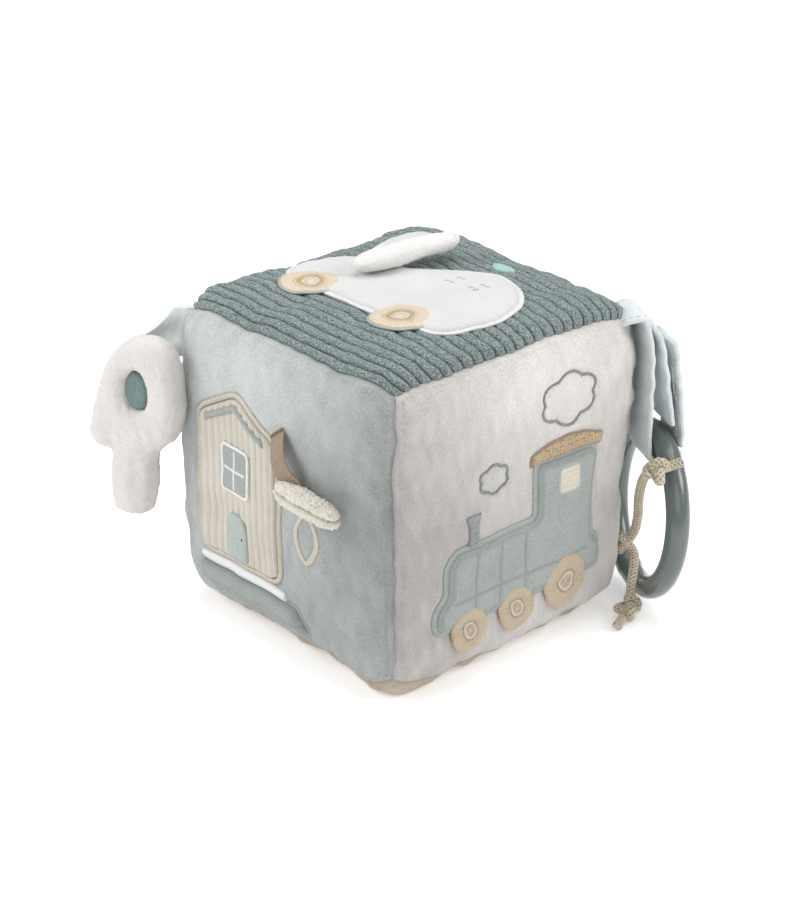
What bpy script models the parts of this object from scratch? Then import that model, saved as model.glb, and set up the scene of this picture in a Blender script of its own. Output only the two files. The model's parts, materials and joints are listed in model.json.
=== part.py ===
# Soft fabric activity block: six sewn panels over a stuffed core, with patches, a padded ear flap,
# a key tag, a ribbon with a terry tab, two knotted cord ends and a plastic ring on a fabric loop.
# Metres, +Z up. The origin is the middle of the flat bottom that the block rests on.
# Front is -Y, right is +X.
import bpy
import bmesh
import numpy as np
from math import cos, sin, radians, pi, sqrt
from mathutils import Matrix, Vector

# Block
HALF_WIDTH = 0.0630          # centre of the block to the crown of a side panel
HALF_HEIGHT = 0.0612         # centre of the block to the crown of the top panel
FORM_POWER = 7.66            # how square the stuffed cube is; its corners draw in as this falls
REST_CUT = 0.0005            # how far the table flattens the bottom crown
PANEL_THICK = 0.0012         # velour with its backing
SEAM_GAP = 0.0003            # between two panels along a seam
FIT_GAP = 0.0003             # between any two pieces that lie on each other
CORE_GAP = 0.0004            # between the panels and the stuffing
CUT_OVER = 0.0010            # overrun of every cut
PANEL_CELLS = 12
RIBBED_CELLS = 10
RIB_COUNT = 25               # corduroy ribs across the top panel
RIB_HIGH = 0.0018            # corduroy thickness on a rib
RIB_LOW_SHARE = 0.45         # and in a valley, as a share of that

# Rattle inside the stuffing
CAPSULE_RADIUS = 0.0150
CAPSULE_WALL = 0.0012
BALL_RADIUS = 0.0050

# Patches
PATCH_THICK = 0.0012
PIPE_RADIUS = 0.0009         # satin border round a patch
STITCH_RADIUS = 0.0005       # an outline in satin stitch
PATCH_CELLS = 8
SHARP_ANGLE = 40.0           # degrees: an edge that turns more is drawn sharp

# Little house on the front panel
HOUSE_WIDTH = 0.0420
HOUSE_HEIGHT = 0.0640
HOUSE_AT = (-0.0190, -0.0010)
HOUSE_CORNER = 0.0050
HOUSE_RIBS = 12
HOUSE_THICK = 0.0014
WINDOW_WIDTH = 0.0150
WINDOW_HEIGHT = 0.0170
DOOR_WIDTH = 0.0120
DOOR_HEIGHT = 0.0190
BADGE_CORNER = 0.0020
SILL_LENGTH = 0.0480
SILL_HEIGHT = 0.0040
LAWN_LENGTH = 0.0600
LAWN_HEIGHT = 0.0088
LAWN_THICK = 0.0028
LEAF_WIDTH = 0.0110
LEAF_HEIGHT = 0.0190
LEAF_AT = (0.0190, -0.0090)

# Ribbon and terry tab on the front panel
RIBBON_WIDTH = 0.0090
RIBBON_THICK = 0.0009
RIBBON_SPAN = 0.0150
RIBBON_BOW = 0.0052
RIBBON_AT = (0.0055, 0.0260)
RIBBON_LEAN = 52.0           # degrees below the panel's level
TERRY_LENGTH = 0.0330
TERRY_RADIUS = 0.0048
TERRY_DROOP = 3.0            # degrees
ROLL_POWER = 5.0             # how blunt the ends of a stuffed roll are
ROLL_TAPER_SHARE = 0.12      # and how much it thins towards its loose end

# Toy engine on the right panel
ENGINE_WIDTH = 0.0840
ENGINE_HEIGHT = 0.0480
ENGINE_AT = (-0.0010, -0.0120)
ENGINE_CORNER = 0.0035
ROOF_LENGTH = 0.0340
ROOF_HEIGHT = 0.0075
CAB_WINDOW = 0.0100
WHEEL_RADIUS = 0.0105
SMALL_WHEEL_RADIUS = 0.0080
WHEEL_THICK = 0.0016
CHIMNEY_WIDTH = 0.0070
CHIMNEY_HEIGHT = 0.0120
PUFF_RADIUS = 0.0100
PUFF_BUMPS = 6

# Pull-along rabbit on the top panel
RABBIT_WIDTH = 0.0880
RABBIT_HEIGHT = 0.0680
RABBIT_AT = (0.0015, 0.0083)
DISC_RADIUS = 0.0105
DISC_THICK = 0.0018
TUFT_WIDTH = 0.0110
TUFT_HEIGHT = 0.0070

# Padded ear on the top panel
EAR_LENGTH = 0.0460
EAR_WIDTH = 0.0120
EAR_THICK = 0.0080
EAR_BASE = (-0.0150, -0.0120)
EAR_TURN = 7.0               # degrees off the Y axis
EAR_LIFT = 2.0               # degrees at rest

# Key tag at the left front corner
KEY_HEAD_WIDTH = 0.0400
KEY_HEAD_HEIGHT = 0.0470
KEY_SHAFT_WIDTH = 0.0180
KEY_SHAFT_LENGTH = 0.0250
KEY_THICK = 0.0120
KEY_HOLE_WIDTH = 0.0088
KEY_HOLE_HEIGHT = 0.0152
KEY_TURN = 24.0              # degrees from the diagonal seam plane
KEY_REACH = 0.0140           # seam to the middle of the head
KEY_FORWARD = 0.0092         # seam plane to the middle of the head
KEY_DROP = 0.0310            # corner down to the middle of the head
HOLE_PATCH_THICK = 0.0020
HOLE_PATCH_SHARE = 0.84      # of the hole it closes
KEY_STRAP_THICK = 0.0022
KEY_STRAP_LENGTH = 0.0145
KEY_STRAP_WIDTH = 0.0143
KEY_STRAP_TOP = 0.0051       # below the corner

# Fabric loop and ring at the right back corner
LOOP_TURN = 19.0             # degrees from the diagonal seam plane
BAND_WIDTH = 0.0200
BAND_THICK = 0.0024
LOOP_ASIDE = 0.0265          # middle of the band, measured along the band's width from the block's axis
LOOP_DROP = 0.0554           # corner down to the lowest point of the loop
LOOP_HALF = 0.0062           # half width of the loop round the ring
RING_RADIUS = 0.0293
RING_TUBE = 0.0043
RING_LEAN = 5.0              # degrees, its top standing out
RING_SLACK = 0.0007          # between the ring and the loop it hangs in
CLASP_SHARE = 0.09           # how much thicker the ring is at its clasp
CLASP_ANGLE = 248.0
CLASP_GAP = 0.0006
PAD_THICK = 0.0006
PAD_WIDTH = 0.0140
TUCK = 0.0002                # step between joined bands, so that no two faces coincide

# Knotted cord ends in the right back seam
CORD_RADIUS = 0.0016
KNOT_RADIUS = 0.0046

CENTRE_Z = HALF_HEIGHT - REST_CUT
CORNER_Z = CENTRE_Z + HALF_HEIGHT * 3 ** (-1 / FORM_POWER)
COLLECTION = "soft_fabric_block"

# Each panel's own axes: along its width, up its height, and outwards
FACES = {
    "front": ((1, 0, 0), (0, 0, 1), (0, -1, 0)),
    "right": ((0, 1, 0), (0, 0, 1), (1, 0, 0)),
    "back": ((-1, 0, 0), (0, 0, 1), (0, 1, 0)),
    "left": ((0, -1, 0), (0, 0, 1), (-1, 0, 0)),
    "top": ((1, 0, 0), (0, 1, 0), (0, 0, 1)),
    "bottom": ((1, 0, 0), (0, -1, 0), (0, 0, -1)),
}
HALF = np.array([HALF_WIDTH, HALF_WIDTH, HALF_HEIGHT])
CENTRE = np.array([0, 0, CENTRE_Z])


# Scene, collections and materials
for old in list(bpy.data.objects):
    bpy.data.objects.remove(old, do_unlink=True)
parts = bpy.data.collections.new(COLLECTION)
cutters = bpy.data.collections.new("cutters")
for group in (parts, cutters):
    bpy.context.scene.collection.children.link(group)


def material(name, colour, roughness=0.9, metallic=0.0):
    found = bpy.data.materials.get(name)
    if found:
        return found
    made = bpy.data.materials.new(name)
    made.use_nodes = True
    shader = made.node_tree.nodes["Principled BSDF"]
    shader.inputs["Base Color"].default_value = (*colour, 1)
    shader.inputs["Roughness"].default_value = roughness
    shader.inputs["Metallic"].default_value = metallic
    return made


BLUE_GREY = material("blue_grey_velour", (0.53, 0.61, 0.62))
OFF_WHITE = material("off_white_velour", (0.72, 0.69, 0.67))
TEAL = material("teal_corduroy", (0.19, 0.27, 0.27))
CREAM = material("cream_corduroy", (0.80, 0.73, 0.64))
CREAM_SATIN = material("cream_satin", (0.80, 0.74, 0.62), 0.55)
WHITE_SATIN = material("white_satin", (0.84, 0.84, 0.84), 0.5)
WHITE_PLUSH = material("white_plush", (0.84, 0.81, 0.79))
PALE_BLUE = material("pale_blue_velour", (0.48, 0.58, 0.58))
MINT = material("mint_satin", (0.45, 0.72, 0.66), 0.6)
TAN = material("tan_satin", (0.62, 0.46, 0.28), 0.6)
TAN_WEAVE = material("tan_weave", (0.55, 0.39, 0.24), 0.8)
BROWN = material("brown_grosgrain", (0.30, 0.19, 0.12), 0.8)
GREY_STITCH = material("grey_stitch", (0.16, 0.18, 0.19), 0.7)
GREEN_SATIN = material("grey_green_satin", (0.36, 0.46, 0.45), 0.6)
TERRY = material("cream_terry", (0.83, 0.77, 0.68), 0.95)
RING_PLASTIC = material("grey_plastic", (0.12, 0.20, 0.21), 0.25)
BRAID = material("beige_braid", (0.47, 0.39, 0.29), 0.9)
STUFFING = material("white_stuffing", (0.9, 0.9, 0.9), 1.0)
CAPSULE_PLASTIC = material("clear_plastic", (0.8, 0.8, 0.82), 0.3)
HOOK = material("white_hook_tape", (0.75, 0.76, 0.76), 0.9)


# Building helpers
def add_object(name, data, mat, cutter=False):
    data.shade_smooth()
    data.set_sharp_from_angle(angle=radians(SHARP_ANGLE))
    made = bpy.data.objects.new(name, data)
    (cutters if cutter else parts).objects.link(made)
    if mat:
        data.materials.clear()
        data.materials.append(mat)
    if cutter:
        made.hide_render = True
        made.display_type = "WIRE"
    return made


def mesh_from(builder, name):
    shape = bmesh.new()
    builder(shape)
    data = bpy.data.meshes.new(name)
    shape.to_mesh(data)
    shape.free()
    return data


def as_mesh(made, name, mat, cutter=False):
    """Turns an object with modifiers, or a curve, into a plain welded mesh in world space."""
    bpy.context.view_layer.update()
    seen = made.evaluated_get(bpy.context.evaluated_depsgraph_get())
    data = bpy.data.meshes.new_from_object(seen)
    data.transform(made.matrix_world)
    shape = bmesh.new()
    shape.from_mesh(data)
    bmesh.ops.remove_doubles(shape, verts=shape.verts, dist=SEAM_GAP / 100)
    bmesh.ops.recalc_face_normals(shape, faces=shape.faces)
    shape.to_mesh(data)
    shape.free()
    bpy.data.objects.remove(made, do_unlink=True)
    return add_object(name, data, mat, cutter)


def boolean(made, other, operation):
    step = made.modifiers.new(operation.lower(), "BOOLEAN")
    step.object = other
    step.operation = operation
    step.solver = "EXACT"


def ball_mesh(name, radius, around=16, rings=10):
    return mesh_from(lambda shape: bmesh.ops.create_uvsphere(
        shape, u_segments=around, v_segments=rings, radius=radius), name)


def box(name, low, high):
    """A cutter between two corners."""
    data = mesh_from(lambda shape: bmesh.ops.create_cube(shape, size=1), name)
    low, high = np.array(low, float), np.array(high, float)
    data.transform(Matrix.Translation((low + high) / 2) @ Matrix.Diagonal((*(high - low), 1)))
    return add_object(name, data, None, True)


def pivot(name, place, pieces, parent=None):
    """An empty on a joint's axis, which carries the pieces that move with it."""
    empty = bpy.data.objects.new(name, None)
    parts.objects.link(empty)
    empty.location = place
    bpy.context.view_layer.update()
    for piece in pieces:
        piece.parent = empty
        piece.matrix_parent_inverse = empty.matrix_world.inverted()
    if parent:
        empty.parent = parent
        empty.matrix_parent_inverse = parent.matrix_world.inverted()
    bpy.context.view_layer.update()
    return empty


def face_matrix(face, along=0.0, up=0.0, out=0.0):
    """Places a panel's own frame in the block, with its origin that far along, up and out."""
    a, b, n = (Vector(axis) for axis in FACES[face])
    turn = Matrix((a, b, n)).transposed().to_4x4()
    return Matrix.Translation(Vector(CENTRE) + a * along + b * up + n * out) @ turn


def face_half(face):
    """Half sizes of the form along a panel's width, height and normal."""
    return [float(abs(np.dot(axis, HALF))) for axis in FACES[face]]


def crown(face, along, up, grow=0.0):
    """Height of the form's surface over the block's centre, at a place on a panel."""
    half_a, half_b, half_n = face_half(face)
    left = 1 - abs(along / half_a) ** FORM_POWER - abs(up / half_b) ** FORM_POWER
    return half_n * max(left, 0) ** (1 / FORM_POWER) + grow


def seam_reach(height):
    """Distance from the block's upright axis to a vertical seam, at a height."""
    left = 1 - abs((height - CENTRE_Z) / HALF_HEIGHT) ** FORM_POWER
    return sqrt(2) * HALF_WIDTH * (left / 2) ** (1 / FORM_POWER)


def on_form(direction, grow):
    """The point of the grown form in a direction of the unit cube's surface."""
    size = sum(abs(c) ** FORM_POWER for c in direction) ** (-1 / FORM_POWER)
    return [c * size * (half + grow) for c, half in zip(direction, HALF)]


def round_corners(points, radius, steps=3):
    """Replaces each corner of a closed outline by an arc of a few points."""
    out = []
    points = [np.array(point, float) for point in points]
    for before, corner, after in zip(points[-1:] + points[:-1], points, points[1:] + points[:1]):
        to_before, to_after = before - corner, after - corner
        reach = min(radius, np.linalg.norm(to_before) / 2, np.linalg.norm(to_after) / 2)
        start = corner + to_before / np.linalg.norm(to_before) * reach
        end = corner + to_after / np.linalg.norm(to_after) * reach
        for step in range(steps + 1):
            t = step / steps
            out.append((1 - t) ** 2 * start + 2 * t * (1 - t) * corner + t ** 2 * end)
    return np.array(out)


def smooth_path(points, per_span, closed=False):
    """A Catmull-Rom curve through points, as an array."""
    points = np.array(points, float)
    count = len(points)
    spans = count if closed else count - 1
    out = []
    for i in range(spans):
        if closed:
            p0, p1, p2, p3 = (points[(i + k) % count] for k in (-1, 0, 1, 2))
        else:
            p1, p2 = points[i], points[i + 1]
            p0 = points[i - 1] if i > 0 else 2 * p1 - p2
            p3 = points[i + 2] if i + 2 < count else 2 * p2 - p1
        for step in range(per_span):
            t = step / per_span
            out.append(0.5 * (2 * p1 + (p2 - p0) * t + (2 * p0 - 5 * p1 + 4 * p2 - p3) * t ** 2
                              + (3 * p1 - p0 - 3 * p2 + p3) * t ** 3))
    if not closed:
        out.append(points[-1])
    return np.array(out)


def even_path(points, spacing):
    """The same line with points at an even distance."""
    steps = np.linalg.norm(np.diff(points, axis=0), axis=1)
    along = np.concatenate([[0], np.cumsum(steps)])
    count = max(int(round(along[-1] / spacing)), 2)
    marks = np.linspace(0, along[-1], count + 1)
    return np.stack([np.interp(marks, along, points[:, k]) for k in range(points.shape[1])], 1)


def tube(name, points, radius, mat, closed=False, resolution=1, radii=None, cutter=False):
    """A round tube along points: a curve with a bevel, made a mesh."""
    curve = bpy.data.curves.new(name, "CURVE")
    curve.dimensions = "3D"
    curve.bevel_depth = radius
    curve.bevel_resolution = resolution
    curve.use_fill_caps = not closed
    line = curve.splines.new("POLY")
    line.points.add(len(points) - 1)
    line.use_cyclic_u = closed
    for point, place in zip(line.points, points):
        point.co = (*place, 1)
    if radii is not None:
        for point, share in zip(line.points, radii):
            point.radius = share
    made = bpy.data.objects.new(name + "_line", curve)
    parts.objects.link(made)
    return as_mesh(made, name, mat, cutter)


def slab(name, outline, half_depth, matrix, mat, cutter=False):
    """A flat outline extruded both ways by half_depth, then placed by a matrix."""
    curve = bpy.data.curves.new(name, "CURVE")
    curve.dimensions = "2D"
    curve.fill_mode = "BOTH"
    curve.extrude = half_depth
    line = curve.splines.new("POLY")
    line.points.add(len(outline) - 1)
    line.use_cyclic_u = True
    for point, (x, y) in zip(line.points, outline):
        point.co = (x, y, 0, 1)
    made = bpy.data.objects.new(name + "_outline", curve)
    parts.objects.link(made)
    made.matrix_world = matrix
    return as_mesh(made, name, mat, cutter)


def placed(outline_shares, width, height, at):
    """An outline given as shares of a width and a height, in a panel's own axes."""
    return [(at[0] + a * width, at[1] + b * height) for a, b in outline_shares]


def cloth_layer(name, face, low, high, level, thick, ribs=0, cells=PATCH_CELLS):
    """A layer of cloth that follows a panel's crown, as a cutter: a grid, then Solidify outwards."""
    columns = 2 * ribs if ribs else cells

    def build(shape):
        bmesh.ops.create_grid(shape, x_segments=columns, y_segments=cells, size=1)
        for vert in shape.verts:
            along = low[0] + (high[0] - low[0]) * (vert.co.x + 1) / 2
            up = low[1] + (high[1] - low[1]) * (vert.co.y + 1) / 2
            vert.co = (along, up, crown(face, along, up, level))

    data = mesh_from(build, name)
    made = add_object(name, data, None, True)
    made.matrix_world = face_matrix(face)
    pile = made.vertex_groups.new(name="pile")
    for vert in data.vertices:
        column = round((vert.co.x - low[0]) / (high[0] - low[0]) * columns)
        pile.add([vert.index], 1.0 if not ribs or column % 2 else RIB_LOW_SHARE, "REPLACE")
    wall = made.modifiers.new("wall", "SOLIDIFY")
    wall.thickness = thick
    wall.offset = 1
    wall.vertex_group = "pile"
    return made


def patch(name, outline, face, mat, level, thick, ribs=0, holes=()):
    """A sewn patch: its outline, cut from a cloth layer that lies level above the panel."""
    low, high = np.min(outline, axis=0), np.max(outline, axis=0)
    sag = max(crown(face, 0, 0) - crown(face, *corner)
              for corner in ((low[0], low[1]), (low[0], high[1]), (high[0], low[1]), (high[0], high[1])))
    layer = cloth_layer(name + "_layer", face, low - CUT_OVER, high + CUT_OVER, level, thick, ribs)
    bottom = crown(face, 0, 0, level) - sag - 2 * CUT_OVER
    top = crown(face, 0, 0, level + thick) + CUT_OVER
    made = slab(name, outline, (top - bottom) / 2, face_matrix(face, out=(top + bottom) / 2), mat)
    boolean(made, layer, "INTERSECT")
    for hole in holes:
        boolean(made, hole, "DIFFERENCE")
    return made


def on_panel(outline, face, level):
    """World points of an outline that lies level above a panel."""
    a, b, n = (np.array(axis, float) for axis in FACES[face])
    return [CENTRE + a * along + b * up + n * crown(face, along, up, level) for along, up in outline]


def grown(outline, by):
    """An outline moved outwards by a distance; outlines run anticlockwise."""
    outline = np.array(outline, float)
    along = np.roll(outline, -1, 0) - np.roll(outline, 1, 0)
    along /= np.linalg.norm(along, axis=1)[:, None]
    return outline + by * np.stack([along[:, 1], -along[:, 0]], 1)


def border(name, outline, face, mat, radius=PIPE_RADIUS, spacing=0.0035, under=0.0):
    """A satin border or a stitched line: a closed tube that lies on the panel."""
    closed = np.vstack([outline, outline[:1]])
    ring = even_path(closed, spacing)[:-1]
    return tube(name, on_panel(ring, face, under + FIT_GAP + radius), radius, mat, closed=True)


def disc(name, face, at, radius, mat, level=FIT_GAP, thick=DISC_THICK, cutter=False, sides=28):
    """A stitched disc that lies flat on the panel."""
    def build(shape):
        bmesh.ops.create_cone(shape, cap_ends=True, segments=sides, radius1=radius, radius2=radius, depth=thick)
    data = mesh_from(build, name)
    data.transform(face_matrix(face, at[0], at[1], crown(face, 0, 0, level) + thick / 2))
    return add_object(name, data, mat, cutter)


# Panels and stuffing
def panel(face, mat, ribs=0):
    """One sewn panel: the form's inner surface over one side of the cube, thickened outwards."""
    a, b, n = (np.array(axis, float) for axis in FACES[face])
    edge = 1 - SEAM_GAP / (sqrt(2) * HALF_WIDTH * 2 ** (-1 / FORM_POWER))
    rows = 2 * ribs if ribs else PANEL_CELLS
    heights = []

    def build(shape):
        bmesh.ops.create_grid(shape, x_segments=RIBBED_CELLS if ribs else PANEL_CELLS, y_segments=rows, size=1)
        for vert in shape.verts:
            u, v = vert.co.x, vert.co.y
            heights.append(v)
            u = u * (1.25 - 0.25 * u * u) * edge
            v = v * edge if ribs else v * (1.25 - 0.25 * v * v) * edge
            vert.co = on_form(a * u + b * v + n, -PANEL_THICK)

    data = mesh_from(build, face + "_panel")
    made = add_object(face + "_panel", data, mat)
    made.location = CENTRE
    wall = made.modifiers.new("wall", "SOLIDIFY")
    wall.offset = 1
    wall.thickness = PANEL_THICK
    if ribs:
        pile = made.vertex_groups.new(name="pile")
        wall.thickness = RIB_HIGH
        wall.vertex_group = "pile"
        for index, v in enumerate(heights):
            row = round((v + 1) * rows / 2)
            pile.add([index], 1.0 if row % 2 else RIB_LOW_SHARE, "REPLACE")
    return made


def make_panels():
    panel("front", BLUE_GREY)
    panel("right", OFF_WHITE)
    panel("back", BLUE_GREY)
    panel("left", OFF_WHITE)
    panel("top", TEAL, RIB_COUNT)
    bottom = panel("bottom", CREAM)
    far = 2 * HALF_WIDTH
    table = box("table_cut", (-far, -far, -far), (far, far, 0))
    boolean(bottom, table, "DIFFERENCE")


def make_core():
    """Two halves of stuffing with a round pocket for the rattle."""
    def build(shape):
        bmesh.ops.create_cube(shape, size=2)
        bmesh.ops.subdivide_edges(shape, edges=shape.edges, cuts=PANEL_CELLS // 2 + 1, use_grid_fill=True)
        for vert in shape.verts:
            spread = [c * (1.25 - 0.25 * c * c) for c in vert.co]
            vert.co = on_form(spread, -PANEL_THICK - CORE_GAP)

    hollow = add_object("rattle_pocket", ball_mesh("rattle_pocket", CAPSULE_RADIUS + 2 * FIT_GAP), None, True)
    hollow.location = CENTRE
    far = 2 * HALF_WIDTH
    for name, low, high in (("stuffing_lower", CENTRE_Z - FIT_GAP / 2, 2 * far),
                            ("stuffing_upper", -far, CENTRE_Z + FIT_GAP / 2)):
        made = add_object(name, mesh_from(build, name), STUFFING)
        made.location = CENTRE
        boolean(made, box(name + "_cut", (-far, -far, low), (far, far, high)), "DIFFERENCE")
        boolean(made, hollow, "DIFFERENCE")


def make_rattle():
    """Two half shells with a ball in them."""
    inside = add_object("rattle_inside", ball_mesh("rattle_inside", CAPSULE_RADIUS - CAPSULE_WALL), None, True)
    inside.location = CENTRE
    far = 2 * CAPSULE_RADIUS
    for name, low, high in (("rattle_shell_lower", -FIT_GAP / 2, far), ("rattle_shell_upper", -far, FIT_GAP / 2)):
        made = add_object(name, ball_mesh(name, CAPSULE_RADIUS), CAPSULE_PLASTIC)
        made.location = CENTRE
        boolean(made, inside, "DIFFERENCE")
        boolean(made, box(name + "_cut", (-far, -far, CENTRE_Z + low), (far, far, CENTRE_Z + high)), "DIFFERENCE")
    made = add_object("rattle_ball", ball_mesh("rattle_ball", BALL_RADIUS, 12, 8), CAPSULE_PLASTIC)
    made.location = (0, 0, CENTRE_Z - CAPSULE_RADIUS + CAPSULE_WALL + BALL_RADIUS + 2 * FIT_GAP)


# Front panel
HOUSE_SHARES = [(-0.5, -0.5), (0.5, -0.5), (0.5, 0.33), (0.0, 0.5), (-0.5, 0.33)]
ROOF_SHARES = [(-0.40, 0.285), (0.0, 0.415), (0.40, 0.285), (0.40, 0.33), (0.0, 0.46), (-0.40, 0.33)]
RECT_SHARES = [(-0.5, -0.5), (0.5, -0.5), (0.5, 0.5), (-0.5, 0.5)]
ARCH_SHARES = [(-0.5, -0.5), (0.5, -0.5), (0.5, 0.25), (0.3, 0.45), (0.0, 0.5), (-0.3, 0.45), (-0.5, 0.25)]
LAWN_SHARES = [(-0.5, -0.35), (-0.42, -0.5), (0.5, -0.5), (0.40, 0.5), (-0.5, 0.5)]
LEAF_SHARES = [(0.0, -0.5), (0.40, -0.22), (0.48, 0.12), (0.0, 0.5), (-0.48, 0.12), (-0.40, -0.22)]


def make_front():
    house = round_corners(placed(HOUSE_SHARES, HOUSE_WIDTH, HOUSE_HEIGHT, HOUSE_AT), HOUSE_CORNER)
    patch("house_wall", house, "front", CREAM, FIT_GAP, HOUSE_THICK, ribs=HOUSE_RIBS)
    border("house_piping", grown(house, PIPE_RADIUS + FIT_GAP), "front", CREAM_SATIN)
    on_wall = HOUSE_THICK + 2 * FIT_GAP
    roof = placed(ROOF_SHARES, HOUSE_WIDTH, HOUSE_HEIGHT, HOUSE_AT)
    patch("house_roof_trim", roof, "front", PALE_BLUE, on_wall, PATCH_THICK)
    window_at = (HOUSE_AT[0], HOUSE_AT[1] + WINDOW_HEIGHT / 4)
    window = round_corners(placed(RECT_SHARES, WINDOW_WIDTH, WINDOW_HEIGHT, window_at), BADGE_CORNER)
    patch("house_window", window, "front", PALE_BLUE, on_wall, PATCH_THICK)
    house_foot = HOUSE_AT[1] - HOUSE_HEIGHT / 2
    door_at = (HOUSE_AT[0], house_foot + DOOR_HEIGHT / 2 + BADGE_CORNER / 2)
    door = round_corners(placed(ARCH_SHARES, DOOR_WIDTH, DOOR_HEIGHT, door_at), BADGE_CORNER)
    patch("house_door", door, "front", GREEN_SATIN, on_wall, PATCH_THICK)
    clear = PIPE_RADIUS * 2 + 2 * FIT_GAP
    sill_at = (HOUSE_AT[0] + (SILL_LENGTH - HOUSE_WIDTH) / 4, house_foot - clear - SILL_HEIGHT / 2)
    sill = round_corners(placed(RECT_SHARES, SILL_LENGTH, SILL_HEIGHT, sill_at), SILL_HEIGHT / 4)
    patch("house_sill", sill, "front", WHITE_SATIN, FIT_GAP, PATCH_THICK)
    lawn_at = (HOUSE_AT[0] + (LAWN_LENGTH - HOUSE_WIDTH) / 2 - HOUSE_CORNER / 2,
               sill_at[1] - SILL_HEIGHT / 2 - FIT_GAP - LAWN_HEIGHT / 2)
    lawn = round_corners(placed(LAWN_SHARES, LAWN_LENGTH, LAWN_HEIGHT, lawn_at), BADGE_CORNER)
    patch("lawn_pad", lawn, "front", BLUE_GREY, FIT_GAP, LAWN_THICK)
    leaf = smooth_path(placed(LEAF_SHARES, LEAF_WIDTH, LEAF_HEIGHT, LEAF_AT), 4, closed=True)
    border("stitched_leaf", leaf, "front", CREAM_SATIN, spacing=LEAF_HEIGHT / 7)


def strip(name, line, thick, half_width, matrix, mat, cutter=False):
    """A band of cloth seen from its edge: a line thickened both ways and extruded."""
    line = np.array(line, float)
    along = np.gradient(line, axis=0)
    along /= np.linalg.norm(along, axis=1)[:, None]
    side = np.stack([-along[:, 1], along[:, 0]], 1) * thick / 2
    return slab(name, np.vstack([line - side, (line + side)[::-1]]), half_width, matrix, mat, cutter)


def ribbon_matrix():
    """The ribbon's frame: along its fall, away from the panel, and across its width."""
    lean = radians(RIBBON_LEAN)
    fall, out = Vector((cos(lean), 0, -sin(lean))), Vector((0, -1, 0))
    across = fall.cross(out)
    start = Vector(on_panel([RIBBON_AT], "front", FIT_GAP + RIBBON_THICK / 2)[0])
    return Matrix.Translation(start) @ Matrix((fall, out, across)).transposed().to_4x4()


def padded_roll(name, length, radius_wide, radius_thick, matrix, mat):
    """A stuffed roll with swollen middle and round ends, lying along X."""
    def build(shape):
        bmesh.ops.create_uvsphere(shape, u_segments=12, v_segments=10, radius=1)
        for vert in shape.verts:
            x, y, z = vert.co.z, vert.co.x, vert.co.y
            full = ((1 - abs(x) ** ROLL_POWER) / (1 - x * x)) ** 0.5 if abs(x) < 1 else 0
            swell = full * (1 - ROLL_TAPER_SHARE * (x + 1) / 2)
            vert.co = (x * length / 2, y * swell * radius_wide, z * swell * radius_thick)
    data = mesh_from(build, name)
    data.transform(matrix)
    return add_object(name, data, mat)


def make_ribbon():
    share = np.linspace(0, 1, 9)
    line = np.stack([share * RIBBON_SPAN, RIBBON_BOW * np.sin(share * pi * 0.62)], 1)
    frame = ribbon_matrix()
    ribbon = strip("pull_ribbon", line, RIBBON_THICK, RIBBON_WIDTH / 2, frame, BROWN)
    end = frame @ Vector((*line[-1], 0))
    droop = radians(TERRY_DROOP)
    along, up, out = Vector((cos(droop), 0, -sin(droop))), Vector((sin(droop), 0, cos(droop))), Vector((0, -1, 0))
    middle = end + along * (TERRY_LENGTH / 2 - TERRY_RADIUS) - up * (TERRY_RADIUS + RIBBON_THICK / 2 + FIT_GAP)
    turn = Matrix((along, -out, up)).transposed().to_4x4()
    tab = padded_roll("terry_tab", TERRY_LENGTH, TERRY_RADIUS, TERRY_RADIUS,
                      Matrix.Translation(middle) @ turn, TERRY)
    ribbon_pivot = pivot("ribbon_pivot", frame.translation, [ribbon])
    pivot("tab_pivot", end, [tab], ribbon_pivot)


# Right panel
ENGINE_SHARES = [(-0.5, -0.5), (0.46, -0.5), (0.46, -0.28), (0.40, -0.24), (0.40, 0.5), (0.06, 0.5),
                 (0.06, 0.08), (-0.40, 0.08), (-0.44, 0.0), (-0.44, -0.24), (-0.5, -0.34)]
ROOF_ARCH_SHARES = [(-0.5, -0.5), (0.5, -0.5), (0.5, 0.0), (0.25, 0.36), (0.0, 0.5), (-0.25, 0.36), (-0.5, 0.0)]
CHIMNEY_SHARES = [(-0.32, -0.5), (0.32, -0.5), (0.32, 0.15), (0.5, 0.5), (-0.5, 0.5), (-0.32, 0.15)]


def puff_outline(at, radius):
    """A steam puff: a circle whose radius swells in even bumps."""
    turn = np.linspace(0, 2 * pi, 8 * PUFF_BUMPS, endpoint=False)
    reach = radius * (1 - 0.16 * (1 - np.abs(np.sin(turn * PUFF_BUMPS / 2))))
    return np.stack([at[0] + reach * np.cos(turn), at[1] + 0.75 * reach * np.sin(turn)], 1)


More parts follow.
